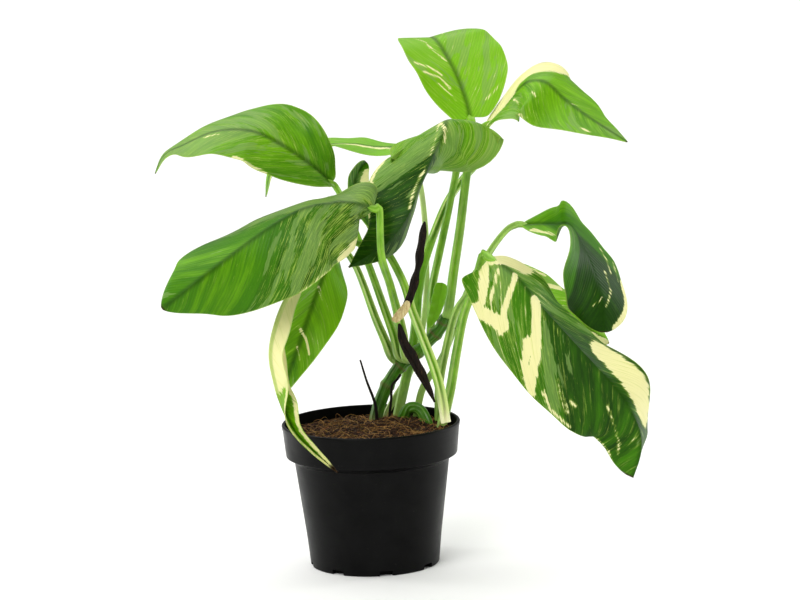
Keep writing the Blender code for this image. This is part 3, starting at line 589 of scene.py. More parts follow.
stalks = [
    {
        "name": "vine", "rooted": True,
        "path": [
            (3, 33, 0), (8, 34, 16), (15, 34, 29), (22, 33, 38), (30, 30, 44), (40, 26, 54), (48, 22, 63),
            (53, 19, 72),
        ],
        "radius": (4.6, 4.0), "nodes": [0.36, 0.52, 0.68, 0.86, 0.96], "paleFoot": 0.35,
    },
    {
        "name": "petiole_upper_left",
        "path": [(20, 25, 46), (17, 15, 62), (10, 7, 86), (2, 2, 112), (-5, 0, 132), (-12, -2, 153)],
        "radius": (3.2, 1.8), "blade": "blade_upper_left", "groove": 0.7, "wing": (0.02, 0.6, 0.5),
        "paleFoot": 0.3,
    },
    {
        "name": "petiole_hanging",
        "path": [(15, 33, 44), (11, 22, 57), (5, 11, 75), (-2, 0, 99), (-7, -6, 113), (-14, -10, 125)],
        "radius": (3.2, 1.8), "blade": "blade_hanging", "groove": 0.8, "wing": (0.05, 0.98, 0.7),
        "paleFoot": 0.2,
    },
    {
        "name": "petiole_middle_left",
        "path": [(25, 20, 45), (23, 6, 63), (20, -12, 82), (16, -32, 103), (11, -49, 126)],
        "radius": (3.4, 2.2), "blade": "blade_middle_left", "groove": 0.7, "wing": (0.02, 0.55, 0.6),
        "paleFoot": 0.3,
    },
    {
        "name": "petiole_folded",
        "path": [
            (22, 42, 42), (20, 31, 67), (18, 15, 87), (13, -3, 106), (8, -14, 120), (-4, -24, 130),
            (-20, -37, 130),
        ],
        "radius": (2.6, 1.6), "blade": "blade_folded", "groove": 0.5,
    },
    {
        "name": "petiole_behind_left", "rooted": True,
        "path": [
            (10, 47, 0), (18, 49, 14), (27, 51, 28), (35, 53, 51), (40, 52, 79), (41, 51, 107),
            (41, 49, 129), (39, 47, 155), (35, 43, 175),
        ],
        "radius": (2.4, 1.8), "blade": "blade_behind_left", "groove": 0.3, "pale": 0.45,
    },
    {
        "name": "petiole_top_right", "rooted": True,
        "path": [
            (18, 40, 0), (25, 42, 28), (30, 41, 49), (33, 40, 70), (35, 40, 87), (41, 40, 111),
            (55, 39, 145), (67, 35, 163), (76, 28, 174), (81, 21, 186),
        ],
        "radius": (3.6, 2.4), "blade": "blade_top_right", "groove": 0.6, "wing": (0.55, 0.95, 0.9),
        "paleFoot": 0.3,
    },
    {
        "name": "petiole_drooping",
        "path": [(42, 35, 55), (43, 29, 76), (44, 27, 90), (49, 24, 112), (56, 22, 141), (60, 15, 160)],
        "radius": (3.0, 2.2), "blade": "blade_drooping", "groove": 0.6, "wing": (0.05, 0.6, 0.4),
        "paleFoot": 0.2,
    },
    {
        "name": "petiole_top",
        "path": [(55, 17, 79), (59, 17, 104), (64, 18, 132), (68, 19, 159), (72, 20, 184)],
        "radius": (3.4, 2.6), "blade": "blade_top", "groove": 0.4, "wing": (0.05, 0.7, 0.2),
        "paleFoot": 0.2,
    },
    {
        "name": "petiole_right_behind", "rooted": True,
        "path": [(31, 41, 0), (36, 40, 20), (49, 37, 40), (57, 34, 58), (63, 28, 76), (69, 19, 92)],
        "radius": (2.6, 2.0), "blade": "blade_right_behind", "groove": 0.5, "pale": 0.2,
    },
    {
        "name": "petiole_right_arching", "rooted": True,
        "path": [
            (46, 22, 0), (47, 21, 25), (52, 11, 51), (59, 3, 77), (69, -2, 93), (82, -2, 117), (94, 6, 131),
        ],
        "radius": (3.2, 2.0), "blade": "blade_right_arching", "groove": 0.7, "wing": (0.1, 0.7, 0.4),
        "pale": 0.15,
    },
    {
        "name": "petiole_right_large", "rooted": True,
        "path": [(48, 10, 0), (54, 8, 23), (59, 0, 51), (64, -14, 77), (71, -27, 99)], "radius": (3.6, 2.4),
        "blade": "blade_right_large", "groove": 0.5, "wing": (0.1, 0.8, 0.3), "paleFoot": 0.3,
    },
    {  # rests over the rim
        "name": "petiole_over_rim",
        "path": [
            (50, -38, 11), (47, -37, 32), (43, -35, 48), (36, -32, 68), (30, -29, 85), (26, -26, 100),
            (21, -24, 112), (14, -22, 125),
        ],
        "radius": (3.4, 2.4), "blade": "blade_small_upright", "groove": 0.9, "wing": (0.0, 0.75, 0.9),
        "paleFoot": 0.95,
    },
    {
        "name": "rhizome", "rooted": True, "path": [(21, 27, 0), (26, 24, 9), (33, 19, 9), (38, 16, 0)],
        "radius": (4.0, 4.0),
    },
    {
        "name": "dry_strand", "rooted": True, "path": [(4, 21, 0), (3, 21, 14), (-2, 22, 29), (-6, 22, 44)],
        "radius": (1.4, 0.6),
    },
    {
        "name": "aerial_root_long", "rooted": True,
        "path": [(12, 18, 0), (14, 19, 16), (15, 19, 26), (19, 18, 31), (21, 17, 34)], "radius": (0.9, 0.9),
    },
    {
        "name": "aerial_root_short", "path": [(53, 25, 65), (56, 27, 63), (59, 27, 63)],
        "radius": (0.9, 0.7),
    },
]


# Shared by all leaves, in millimetres where they are lengths: crowding draws the columns to the midrib
leafMesh = {
    "rows": 140, "columns": 22, "crowding": 1.3, "halfThickness": 0.3, "ripple": 0.8, "waves": 4,
    "leastWidth": 0.8, "veinLean": 1.15,
}

# Shared by all stalks: where their open side faces, and in millimetres how deep they root, from how far a
# foot joins the vine and how far before the leaf's base a stalk comes into line with its midrib
stalkMesh = {"opening": (0.25, -0.9, 0.35), "rootDepth": 12, "joinWithin": 12, "inLine": 5}


def petioleEndRadius(leafName):
    stalk = next((stalk for stalk in stalks if stalk.get("blade") == leafName), None)
    return stalk["radius"][1] if stalk else 1.5


# A leaf's middle surface: points, row shares, signed shares across, and both halves' widths in millimetres.
def leafSurface(leaf):
    rows, columns = leafMesh["rows"], leafMesh["columns"]
    line = smoothLine([plantPoint(*point) for point in leaf["midrib"]], 121)
    even = np.linspace(0, 1, rows + 1)
    shares = 0.002 + 0.996 * (0.45 * even + 0.55 * (0.5 - 0.5 * np.cos(np.pi * even)))
    centre = pointsAt(line, shares)
    along = unit(pointsAt(line, shares + 0.03) - pointsAt(line, shares - 0.02))
    face = np.stack(
        [easedValue([(s, f[axis]) for s, f in leaf["faces"]], shares) for axis in range(3)], axis=1)
    upper = unit(face - along * (face * along).sum(axis=1, keepdims=True))
    right = np.cross(along, upper)
    widest, basePower = leaf.get("widest", 0.38), leaf.get("round", 0.5)
    tipPower = basePower * (1 - widest) / widest
    outline = (shares / widest) ** basePower * ((1 - shares) / (1 - widest)) ** tipPower
    early = np.minimum(shares / 0.25, 1.0)
    bump = (1 - early) ** 2 * (1 - (1 - np.minimum(6 * early, 1.0)) ** 2)
    edges = (np.arange(columns + 1) / columns) ** leafMesh["crowding"]
    middles, steps = (edges[1:] + edges[:-1]) / 2, np.diff(edges)
    halves, widths = [], []
    for side, key in ((-1, "left"), (1, "right")):
        half = leaf[key]
        width = np.maximum((half.get("width") or leaf["width"]) * outline, leafMesh["leastWidth"]) * mm
        curl = easedValue(half.get("curl", [(0, 0)]), shares)[:, None] * middles**1.4
        angle = np.radians(easedValue(half["fold"], shares)[:, None] + curl)
        turned = side * np.cos(angle)[..., None] * right[:, None] + np.sin(angle)[..., None] * upper[:, None]
        reach = np.cumsum(turned * (steps * width[:, None])[..., None], axis=1)
        lobe = half.get("lobe", leaf.get("lobe", 8)) * mm * bump
        backward = lobe[:, None] * edges[1:] ** 2
        points = centre[:, None] + reach - along[:, None] * backward[..., None]
        wave = np.sin(2 * np.pi * (leafMesh["waves"] * shares + 0.3 * side)) * np.sin(np.pi * shares)
        lift = leafMesh["ripple"] * mm * (wave[:, None] * edges[1:] ** 2)
        points = points + lift[..., None] * upper[:, None]
        halves.append(points)
        widths.append(width / mm)
    points = np.concatenate([halves[0][:, ::-1], centre[:, None], halves[1]], axis=1)
    across = np.concatenate([-edges[:0:-1], [0], edges[1:]])
    length = np.linalg.norm(np.diff(centre, axis=0), axis=1).sum() / mm
    return points, shares, across, widths, length


# Vein coordinate in millimetres: where on the midrib the vein through each point started
def veinStart(shares, distance, width, length):
    back = leafMesh["veinLean"] * distance + 0.3 * distance**2 / np.maximum(width, 4)
    return shares[:, None] * length - back


# How cream each point is: most along the leaf's painted strokes, falling off at their borders, which the
# material's noise frays. A stroke is its half width in millimetres and its points (share along, across).
def creamField(leaf, shares, across, widths, start, length):
    field = easedValue(leaf["speckle"], start / length)
    reach = np.where(across[None, :] < 0, widths[0][:, None], widths[1][:, None])
    place = np.stack(
        [np.broadcast_to(shares[:, None] * length, reach.shape), across[None, :] * reach], axis=-1)
    for halfWidth, stroke in leaf["cream"]:
        spots = []
        for share, out in stroke:
            side = widths[0] if out < 0 else widths[1]
            spots.append(np.array([share * length, out * np.interp(share, shares, side)]))
        for first, second in zip(spots, spots[1:]):
            run = second - first
            part = np.clip(((place - first) @ run) / max(run @ run, 1e-9), 0, 1)
            gone = np.linalg.norm(place - first - part[..., None] * run, axis=-1)
            fade = 1 - smoothStep(0.3 * halfWidth, 1.4 * halfWidth + 1.6, gone)
            field = np.maximum(field, min(0.36 + 0.22 * halfWidth, 1.2) * fade)
    return field


def gridFaces(rows, across, offset, flipped):
    faces = []
    for row in range(rows):
        for column in range(across - 1):
            corner = offset + row * across + column
            face = (corner, corner + 1, corner + across + 1, corner + across)
            faces.append(face[::-1] if flipped else face)
    return faces


# Closes the border between an upper and a lower grid of the same size
def rimFaces(rows, across, offset):
    border = list(range(across))
    border += [row * across + across - 1 for row in range(1, rows + 1)]
    border += [rows * across + column for column in range(across - 2, -1, -1)]
    border += [row * across for row in range(rows - 1, 0, -1)]
    return [(b, a, a + offset, b + offset) for a, b in zip(border, border[1:] + border[:1])]


def thickSheet(name, points, above, below):
    rows, across = points.shape[0] - 1, points.shape[1]
    normals = unit(np.cross(np.gradient(points, axis=1), np.gradient(points, axis=0)))
    upper = (points + normals * above[..., None]).reshape(-1, 3)
    lower = (points - normals * below[..., None]).reshape(-1, 3)
    offset = len(upper)
    faces = gridFaces(rows, across, 0, False) + gridFaces(rows, across, offset, True)
    faces += rimFaces(rows, across, offset)
    return meshOf(name, np.vstack([upper, lower]), faces)


def makeLeaf(leaf, seed):
    points, shares, across, widths, length = leafSurface(leaf)
    width = np.where(across[None, :] < 0, widths[0][:, None], widths[1][:, None])
    distance = np.abs(across)[None, :] * width
    edgeTaper = np.sqrt(1 - np.abs(across)[None, :] ** 6 * 0.85)
    ribRadius = petioleEndRadius(leaf["name"]) * 0.8 * (1 - shares[:, None]) ** 0.8 + 0.12
    rib = ribRadius * np.exp(-(distance / (1.1 * ribRadius)) ** 2)
    groove = 0.3 * (1 - shares[:, None]) ** 0.5 * np.exp(-(distance / 0.9) ** 2)
    above = (leafMesh["halfThickness"] * edgeTaper - groove) * mm
    below = (leafMesh["halfThickness"] * edgeTaper + rib) * mm
    mesh = thickSheet(leaf["name"], points, above, below)
    start = veinStart(shares, distance, width, length)
    cream = creamField(leaf, shares, across, widths, start, length)
    fromMargin = np.minimum(width - distance, np.minimum(shares, 1 - shares)[:, None] * length)
    dried = np.broadcast_to(smoothStep(*leaf.get("dried", (0.985, 1.0)), shares)[:, None], start.shape)
    # the tone is partly painted sheen and shade, and the marble partly painted sheen
    both = {"cream": cream, "tone": easedValue(leaf["tone"], start / length), "fromMidrib": distance,
            "fromMargin": fromMargin, "dried": dried, "marble": easedValue(leaf["marble"], start / length),
            "seed": np.full(start.shape, seed * 3.7)}
    for name, values in both.items():
        setAttribute(mesh, name, np.concatenate([values.ravel(), values.ravel()]))
    setAttribute(mesh, "under", np.repeat([0.0, 1.0], start.size))
    u, v = start / 10, across[None, :] * width / 10
    setUv(mesh, "veins", np.concatenate([u.ravel(), u.ravel()]), np.concatenate([v.ravel(), v.ravel()]))
    name = "leaf_" + leaf["name"].removeprefix("blade_")
    return addObject(name, mesh, leafMaterial, [leaf["name"]])


def stalkLine(stalk):
    points = [plantPoint(*point) for point in stalk["path"]]
    if stalk.get("rooted"):
        points.insert(0, points[0] * [0.94, 0.94, 1] - [0, 0, stalkMesh["rootDepth"] * mm])
    if stalk["name"] == "rhizome":
        points.append(points[-1] - [0, 0, 6 * mm])
    if "blade" in stalk and not stalk.get("rooted"):
        vine = next(other for other in stalks if other["name"] == "vine")
        host = smoothLine([plantPoint(*point) for point in vine["path"]], 80)
        gaps = np.linalg.norm(host - points[0], axis=1)
        if gaps.min() < stalkMesh["joinWithin"] * mm:
            points.insert(0, host[gaps.argmin()])
    if "blade" in stalk:
        leaf = next(leaf for leaf in leaves if leaf["name"] == stalk["blade"])
        rib = smoothLine([plantPoint(*point) for point in leaf["midrib"]], 61)
        along = unit(rib[1] - rib[0])
        points += [rib[0] - along * reach * mm for reach in (stalkMesh["inLine"], 1.1)]
        points.append(rib[2] - upperSide(leaf) * 0.6 * mm)
    return smoothLine(points, 8 * len(points))


def upperSide(leaf):
    base, after = [plantPoint(*point) for point in leaf["midrib"][:2]]
    along, face = unit(after - base), np.array(leaf["faces"][0][1], float)
    return unit(face - along * (face @ along))


# A stalk's cross-section in radii, as (sideways, towards its open side): round below, with a groove between
# two lips above, which the wings draw out.
def sectionPoints(groove, wing):
    half = [(math.sin(turn), -math.cos(turn)) for turn in np.radians([0, 25, 50, 75, 100, 122])]
    lip = (0.62, 0.62 + wing)
    inner = (0.38, 0.6 + wing * 0.75)
    floor = [(0.2, 0.78 - 0.5 * groove), (0.0, 0.9 - 0.72 * groove)]
    right = half + [(0.72, 0.66 + wing * 0.55), lip, inner] + floor
    return np.array(right + [(-x, y) for x, y in right[-2:0:-1]])


def makeStalk(stalk, seed):
    line = stalkLine(stalk)
    count = len(line)
    shares = np.linspace(0, 1, count)
    along = unit(np.gradient(line, axis=0))
    opening = np.array(stalk.get("opening", stalkMesh["opening"]), float)
    up = unit(opening - along * (along @ opening)[:, None])
    side = np.cross(along, up)
    thick, thin = stalk["radius"]
    radius = (thick + (thin - thick) * shares) * mm
    ring = np.zeros(count)
    length = np.linalg.norm(np.diff(line, axis=0), axis=1).sum() / mm
    for node in stalk.get("nodes", []):
        near = np.exp(-(((shares - node) * length / 2.2) ** 2))
        radius = radius * (1 + 0.22 * near)
        ring = np.maximum(ring, np.exp(-(((shares - node) * length / 0.9) ** 2)) * 0.8)
    if "blade" in stalk:
        knee = np.exp(-(((1 - shares) * length - 9) / 6) ** 2)
        radius = radius * (1 + 0.14 * knee)
        radius = radius * np.clip((1 - shares) * length / 5 + 0.25, 0, 1)
    groove = stalk.get("groove", 0.0)
    first, last, height = stalk.get("wing", (0, 0, 0))
    wing = height * smoothStep(first, first + 0.08, shares) * (1 - smoothStep(last - 0.25, last, shares))
    sections = np.array([sectionPoints(groove, w) for w in wing])
    points = line[:, None] + radius[:, None, None] * (
        sections[..., :1] * side[:, None] + sections[..., 1:] * up[:, None])
    around = sections.shape[1]
    faces = []
    for row in range(count - 1):
        for column in range(around):
            a, b = row * around + column, row * around + (column + 1) % around
            faces.append((a, a + around, b + around, b))
    faces += [tuple(range(around)), tuple(range((count - 1) * around, count * around))[::-1]]
    mesh = meshOf(stalk["name"], points.reshape(-1, 3), faces, 60)
    foot = stalk.get("paleFoot", 0.0) * (1 - smoothStep(0.0, 0.22, shares))
    overall = stalk.get("pale", 0.0)
    pale = np.broadcast_to(np.maximum(foot, overall)[:, None], (count, around))
    lip = np.zeros((count, around))
    for column in (6, 7, 8, around - 6, around - 7, around - 8):
        lip[:, column] = np.minimum(1.0, 0.15 + wing)
    setAttribute(mesh, "pale", pale)
    setAttribute(mesh, "lip", lip * (0.8 if groove else 0.0))
    setAttribute(mesh, "ring", np.broadcast_to(ring[:, None], (count, around)))
    setAttribute(mesh, "seed", np.full((count, around), seed * 2.3))
    girth = np.arange(around) / around * 2 * math.pi * thick / 10
    setUv(mesh, "fibres", np.broadcast_to((shares * length / 10)[:, None], (count, around)),
          np.broadcast_to(girth, (count, around)))
    return mesh


# Pot and soil

pot = {
    "baseRadius": 43.5, "wall": 1.2, "bandHeight": 22, "bandDraft": 2.5, "shoulderStep": 5.5,
    "shoulderDrop": 2.5, "lip": 1.1, "floor": 1.8, "steps": 160,
    "notches": 8, "notchWidth": 9, "notchHeight": 3.5, "notchDepth": 5, "notchTurn": 10,
    "black": "#060606", "worn": "#121212", "dust": "#5E5A52", "roughness": 0.34,
}


# Thermoformed polystyrene: drawn hot over a mould, so it is thin, black and satin, with faint rings where the
# sheet stretched and short pale scuffs from stacking.
def makePotMaterial():
    made, tree = newMaterial("thermoformedPolystyrene")
    place = addNode(tree, "ShaderNodeTexCoord", output=3)
    rings = addNode(tree, "ShaderNodeVectorMath", {"operation": "MULTIPLY"}, {0: place, 1: (14, 14, 420)})
    drawn = addNode(tree, "ShaderNodeTexNoise", {}, {"Vector": rings, "Scale": 1.0, "Detail": 2.0})
    cloud = addNode(tree, "ShaderNodeTexNoise", {},
                    {"Vector": place, "Scale": 55.0, "Detail": 5.0, "Roughness": 0.6})
    scuffPlace = addNode(tree, "ShaderNodeMapping", {},
                         {"Vector": place, "Rotation": (0.5, 0.9, 0.3), "Scale": (2600, 170, 300)})
    scuffs = addNode(tree, "ShaderNodeTexNoise", {},
                     {"Vector": scuffPlace, "Scale": 1.0, "Detail": 3.0, "Roughness": 0.7})
    specks = addNode(tree, "ShaderNodeTexNoise", {}, {"Vector": place, "Scale": 1400.0, "Detail": 2.0})
    color = addNode(tree, "ShaderNodeValToRGB", {}, {0: cloud},
                    stops=[(0.35, toLinear(pot["black"])), (0.9, toLinear(pot["worn"]))])
    for marks, none, full, strength in ((scuffs, 0.7, 0.8, 0.35), (specks, 0.74, 0.79, 0.5)):
        mask = addNode(tree, "ShaderNodeMapRange", {"interpolation_type": "SMOOTHSTEP"},
                       {0: marks, 1: none, 2: full, 3: 0.0, 4: strength})
        color = addNode(tree, "ShaderNodeMix", {"data_type": "RGBA"},
                        {0: mask, 6: color, 7: toLinear(pot["dust"])}, output=2)
    gloss = addNode(tree, "ShaderNodeMapRange", {},
                    {0: cloud, 1: 0.3, 2: 0.7, 3: pot["roughness"] - 0.04, 4: pot["roughness"] + 0.12})
    finishSurface(tree, color, gloss, drawn, 0.35, 0.25, {"IOR": 1.5, "Specular IOR Level": 0.07})
    return made


# Points (radius, height) on an arc from one direction to another
def arcPoints(center, radius, fromDegrees, toDegrees, count):
    turns = np.radians(np.linspace(fromDegrees, toDegrees, count))
    return [(center[0] + radius * math.cos(turn), center[1] + radius * math.sin(turn)) for turn in turns]


def turnedMesh(name, profile, steps):
    mesh = bpy.data.meshes.new(name)
    edges = [(i, i + 1) for i in range(len(profile) - 1)]
    mesh.from_pydata([(r * mm, 0, z * mm) for r, z in profile], edges, [])
    made = newObject(name, mesh)
    screw = made.modifiers.new("turn", "SCREW")
    screw.steps = screw.render_steps = steps
    screw.use_merge_vertices = True
    screw.merge_threshold = 0.00005
    return made


def evaluatedMesh(holder):
    graph = bpy.context.evaluated_depsgraph_get()
    mesh = bpy.data.meshes.new_from_object(holder.evaluated_get(graph))
    bpy.data.objects.remove(holder)
    return mesh


def makePot():
    rim, height, wall = rimRadius / mm, potHigh.z / mm, pot["wall"]
    bandBottom = height - pot["bandHeight"]
    bandFoot = rim - pot["bandDraft"]
    shoulder = bandFoot - pot["shoulderStep"]
    neck = bandBottom - pot["shoulderDrop"]
    lip = pot["lip"]
    profile = [(0, pot["floor"]), (pot["baseRadius"] - wall - 1.5, pot["floor"])]
    profile += arcPoints((pot["baseRadius"] - wall - 1.5, pot["floor"] + 1.5), 1.5, -90, -12, 5)
    profile += [(shoulder - wall, neck), (bandFoot - wall, bandBottom + wall)]
    profile += [(rim - wall - 0.7, height - 2.4)]
    profile += arcPoints((rim - lip, height - lip), lip, 150, -20, 9)
    profile += [(rim - 0.25, height - 3.2), (rim - 0.6, height - 4.0), (bandFoot + 0.3, bandBottom + 1.4)]
    profile += arcPoints((bandFoot - 0.5, bandBottom + 0.7), 0.7, 0, -90, 5)
    profile += arcPoints((shoulder + 0.9, neck - wall), 0.9, 100, 180, 4)
    profile += [(shoulder - 0.25, neck - 4.0)]
    for share in (0.25, 0.5, 0.75):
        wallRadius = shoulder - 0.25 - (shoulder - pot["baseRadius"]) * share
        profile.append((wallRadius, (neck - 4.0) * (1 - share) + 3.0 * share))
    profile += [(pot["baseRadius"] + 0.15, 3.0)]
    profile += arcPoints((pot["baseRadius"] - 1.2, 1.2), 1.2, 10, -90, 5)
    profile += [(pot["baseRadius"] - 6, 0.0), (pot["baseRadius"] - 7, 0.9), (0, 0.9)]
    holder = turnedMesh("potShell", profile, pot["steps"])
    cutters = []
    for number in range(pot["notches"]):
        turn = math.radians(pot["notchTurn"] + 360 * number / pot["notches"])
        bpy.ops.mesh.primitive_cube_add(size=1)
        cutter = bpy.context.object
        reach = pot["notchDepth"] + 5
        cutter.scale = (reach * mm, pot["notchWidth"] * mm, 2 * pot["notchHeight"] * mm)
        middle = pot["baseRadius"] - pot["notchDepth"] + reach / 2
        cutter.location = (middle * mm * math.cos(turn), middle * mm * math.sin(turn), 0)
        cutter.rotation_euler.z = turn
        rounding = cutter.modifiers.new("round", "BEVEL")
        rounding.width, rounding.segments = 0.12, 3
        boolean = holder.modifiers.new("notch", "BOOLEAN")
        boolean.operation, boolean.object = "DIFFERENCE", cutter
        cutters.append(cutter)
    mesh = evaluatedMesh(holder)
    for cutter in cutters:
        bpy.data.objects.remove(cutter)
    mesh.shade_smooth()
    mesh.set_sharp_from_angle(angle=math.radians(34))
    return addObject("nursery_pot", mesh, makePotMaterial(), ["pot"])


# Peat and coir: crumbs of dark peat with golden coir fibres through them, rough and without gloss.
soil = {
    "mound": 3.0, "crumbs": 5200, "crumbSize": 1.5, "chips": 300, "fibres": 330, "fibreLength": 13,
    "darkPeat": "#160C06", "peat": "#342011", "redPeat": "#5A371F", "coir": "#A67A42", "paleCoir": "#CFAE78",
}


def makeSoilMaterial(name, hexColors, scale):
    made, tree = newMaterial(name)
    place = addNode(tree, "ShaderNodeTexCoord", output=3)
    spread = addNode(tree, "ShaderNodeTexNoise", {},
                     {"Vector": place, "Scale": scale, "Detail": 6.0, "Roughness": 0.7})
    low, middle, high = [toLinear(color) for color in hexColors]
    color = addNode(tree, "ShaderNodeValToRGB", {},
                    {0: spread}, stops=[(0.34, low), (0.72, high), (0.52, middle)])
    finishSurface(tree, color, 0.94, spread, 0.9, 0.4, {"Specular IOR Level": 0.25})
    return made


def soilHeight(x, y):
    reach = np.clip(np.hypot(x, y) / (rimRadius / mm), 0, 1)
    mound = soil["mound"] * (1 - smoothStep(0.1, 0.85, reach))
    lumps = 1.1 * np.sin(x * 0.23 + 1.3) * np.sin(y * 0.19 + 0.4) + 0.7 * np.sin(x * 0.61 + y * 0.37)
    heap = 2.6 * np.exp(-((x - 22) ** 2 + (y - 16) ** 2) / 420)
    return mound + lumps * (1 - reach**4) + heap - 1.4 - 1.2 * smoothStep(0.86, 1.0, reach)


def makeSoilBed(material):
    rings, spokes = 26, 96
    outer = rimRadius / mm - 2.6
    inner = outer - 4
    points, faces = [(0, 0, soilLevel + soilHeight(0.0, 0.0) * mm)], []
    for ring in range(1, rings + 1):
        for spoke in range(spokes):
            radius, turn = outer * ring / rings, 2 * math.pi * spoke / spokes
            x, y = radius * math.cos(turn), radius * math.sin(turn)
            points.append((x * mm, y * mm, soilLevel + float(soilHeight(x, y)) * mm))
    low = len(points)
    for spoke in range(spokes):
        turn = 2 * math.pi * spoke / spokes
        points.append((inner * mm * math.cos(turn), inner * mm * math.sin(turn), soilLevel - 12 * mm))
    points.append((0, 0, soilLevel - 12 * mm))
    for spoke in range(spokes):
        following = (spoke + 1) % spokes
        faces.append((0, 1 + spoke, 1 + following))
        for ring in range(rings - 1):
            a, b = 1 + ring * spokes + spoke, 1 + ring * spokes + following
            faces.append((a, a + spokes, b + spokes, b))
        edge = 1 + (rings - 1) * spokes
        faces.append((edge + spoke, low + spoke, low + following, edge + following))
        faces.append((low + spoke, low + spokes, low + following))
    return addObject("soil_bed", meshOf("soil_bed", points, faces, 80), material, ["soil"])


# Scatters copies of a small shape over the soil by Geometry Nodes, and returns the plain mesh of them all
def scatterOnSoil(name, bed, shape, material, count, size, spread, tilt, seed, reach):
    group = bpy.data.node_groups.new(name, "GeometryNodeTree")
    face = group.interface
    face.new_socket("Geometry", in_out="INPUT", socket_type="NodeSocketGeometry")
    for label, kind in (("Count", "Int"), ("Size", "Float"), ("Spread", "Float"), ("Tilt", "Float"),
                        ("Reach", "Float"), ("Seed", "Int"), ("Shape", "Object"), ("Finish", "Material")):
        face.new_socket(label, in_out="INPUT", socket_type="NodeSocket" + kind)
    face.new_socket("Geometry", in_out="OUTPUT", socket_type="NodeSocketGeometry")
    given = group.nodes.new("NodeGroupInput").outputs
    normal = addNode(group, "GeometryNodeInputNormal")
    facing = addNode(group, "ShaderNodeSeparateXYZ", {}, {0: normal}, output=2)
    upward = addNode(group, "FunctionNodeCompare", {"data_type": "FLOAT", "operation": "GREATER_THAN"},
                     {0: facing, 1: 0.3})
    place = addNode(group, "GeometryNodeInputPosition")
    level = addNode(group, "ShaderNodeVectorMath", {"operation": "MULTIPLY"}, {0: place, 1: (1, 1, 0)})
    fromAxis = addNode(group, "ShaderNodeVectorMath", {"operation": "LENGTH"}, {0: level}, output=1)
    within = addNode(group, "FunctionNodeCompare", {"data_type": "FLOAT", "operation": "LESS_THAN"},
                     {0: fromAxis, 1: given["Reach"]})
    usableFace = addNode(group, "FunctionNodeBooleanMath", {"operation": "AND"}, {0: upward, 1: within})
    area = addNode(group, "GeometryNodeInputMeshFaceArea")
    usable = addNode(group, "ShaderNodeMath", {"operation": "MULTIPLY"}, {0: area, 1: usableFace})
    total = addNode(group, "GeometryNodeAttributeStatistic", {"domain": "FACE"},
                    {0: given["Geometry"], 2: usable}, output=2)
    density = addNode(group, "ShaderNodeMath", {"operation": "DIVIDE"}, {0: given["Count"], 1: total})
    scattered = addNode(group, "GeometryNodeDistributePointsOnFaces", {"distribute_method": "RANDOM"}, {
        0: given["Geometry"], "Selection": usableFace, "Density": density, "Seed": given["Seed"],
    })
    turn = addNode(group, "FunctionNodeRandomValue", {"data_type": "FLOAT_VECTOR"},
                   {0: (-1, -1, 0), 1: (1, 1, 6.283), "Seed": given["Seed"]})
    tilts = addNode(group, "ShaderNodeCombineXYZ", {}, {0: given["Tilt"], 1: given["Tilt"], 2: 1.0})
    turned = addNode(group, "ShaderNodeVectorMath", {"operation": "MULTIPLY"}, {0: turn, 1: tilts})
    least = addNode(group, "ShaderNodeMath", {"operation": "SUBTRACT"}, {0: 1.0, 1: given["Spread"]})
    most = addNode(group, "ShaderNodeMath", {"operation": "ADD"}, {0: 1.0, 1: given["Spread"]})
    scale = addNode(group, "FunctionNodeRandomValue", {"data_type": "FLOAT"},
                    {2: least, 3: most, "Seed": given["Seed"]}, output=1)
    sized = addNode(group, "ShaderNodeMath", {"operation": "MULTIPLY"}, {0: scale, 1: given["Size"]})
    source = addNode(group, "GeometryNodeObjectInfo", {}, {0: given["Shape"]}, output="Geometry")
    placed = addNode(group, "GeometryNodeInstanceOnPoints", {},
                     {"Points": scattered, "Instance": source, "Rotation": turned, "Scale": sized})
    real = addNode(group, "GeometryNodeRealizeInstances", {}, {0: placed})
    finished = addNode(group, "GeometryNodeSetMaterial", {}, {0: real, "Material": given["Finish"]})
    addNode(group, "NodeGroupOutput", {}, {0: finished})
    holder = newObject(name + "Holder", bed.data.copy())
    modifier = holder.modifiers.new("scatter", "NODES")
    modifier.node_group = group
    wanted = {"Count": count, "Size": size, "Spread": spread, "Tilt": tilt, "Reach": reach, "Seed": seed,
              "Shape": shape, "Finish": material}
    for item in face.items_tree:
        if item.in_out == "INPUT" and item.name in wanted:
            modifier[item.identifier] = wanted[item.name]
    mesh = evaluatedMesh(holder)
    bpy.data.objects.remove(shape)
    return mesh


# One crumb: a ball of 1 mm with its points pushed in and out
def crumbShape(name, roughness, flatten):
    bpy.ops.mesh.primitive_ico_sphere_add(subdivisions=1, radius=0.5)
    made = bpy.context.object
    made.name = name
    for vertex in made.data.vertices:
        vertex.co *= 1 + rng.uniform(-roughness, roughness)
        vertex.co *= Vector(flatten)
    return made


# One coir fibre of unit length: a thin three-sided tube along a bent line that rises and falls back
def fibreShape(name, radius, bend, rise):
    steps, sides = 7, 3
    points, faces = [], []
    for step in range(steps):
        share = step / (steps - 1)
        arch = math.sin(math.pi * share)
        middle = np.array([share - 0.5, bend * arch, rise * arch - 0.04])
        for sideNumber in range(sides):
            turn = 2 * math.pi * sideNumber / sides
            points.append(middle + radius * (1 - 0.5 * share) * np.array([0, math.cos(turn), math.sin(turn)]))
    for step in range(steps - 1):
        for sideNumber in range(sides):
            a, b = step * sides + sideNumber, step * sides + (sideNumber + 1) % sides
            faces.append((a, a + sides, b + sides, b)[::-1])
    faces += [tuple(range(sides))[::-1], tuple(range((steps - 1) * sides, steps * sides))]
    return newObject(name, meshOf(name, points, faces))


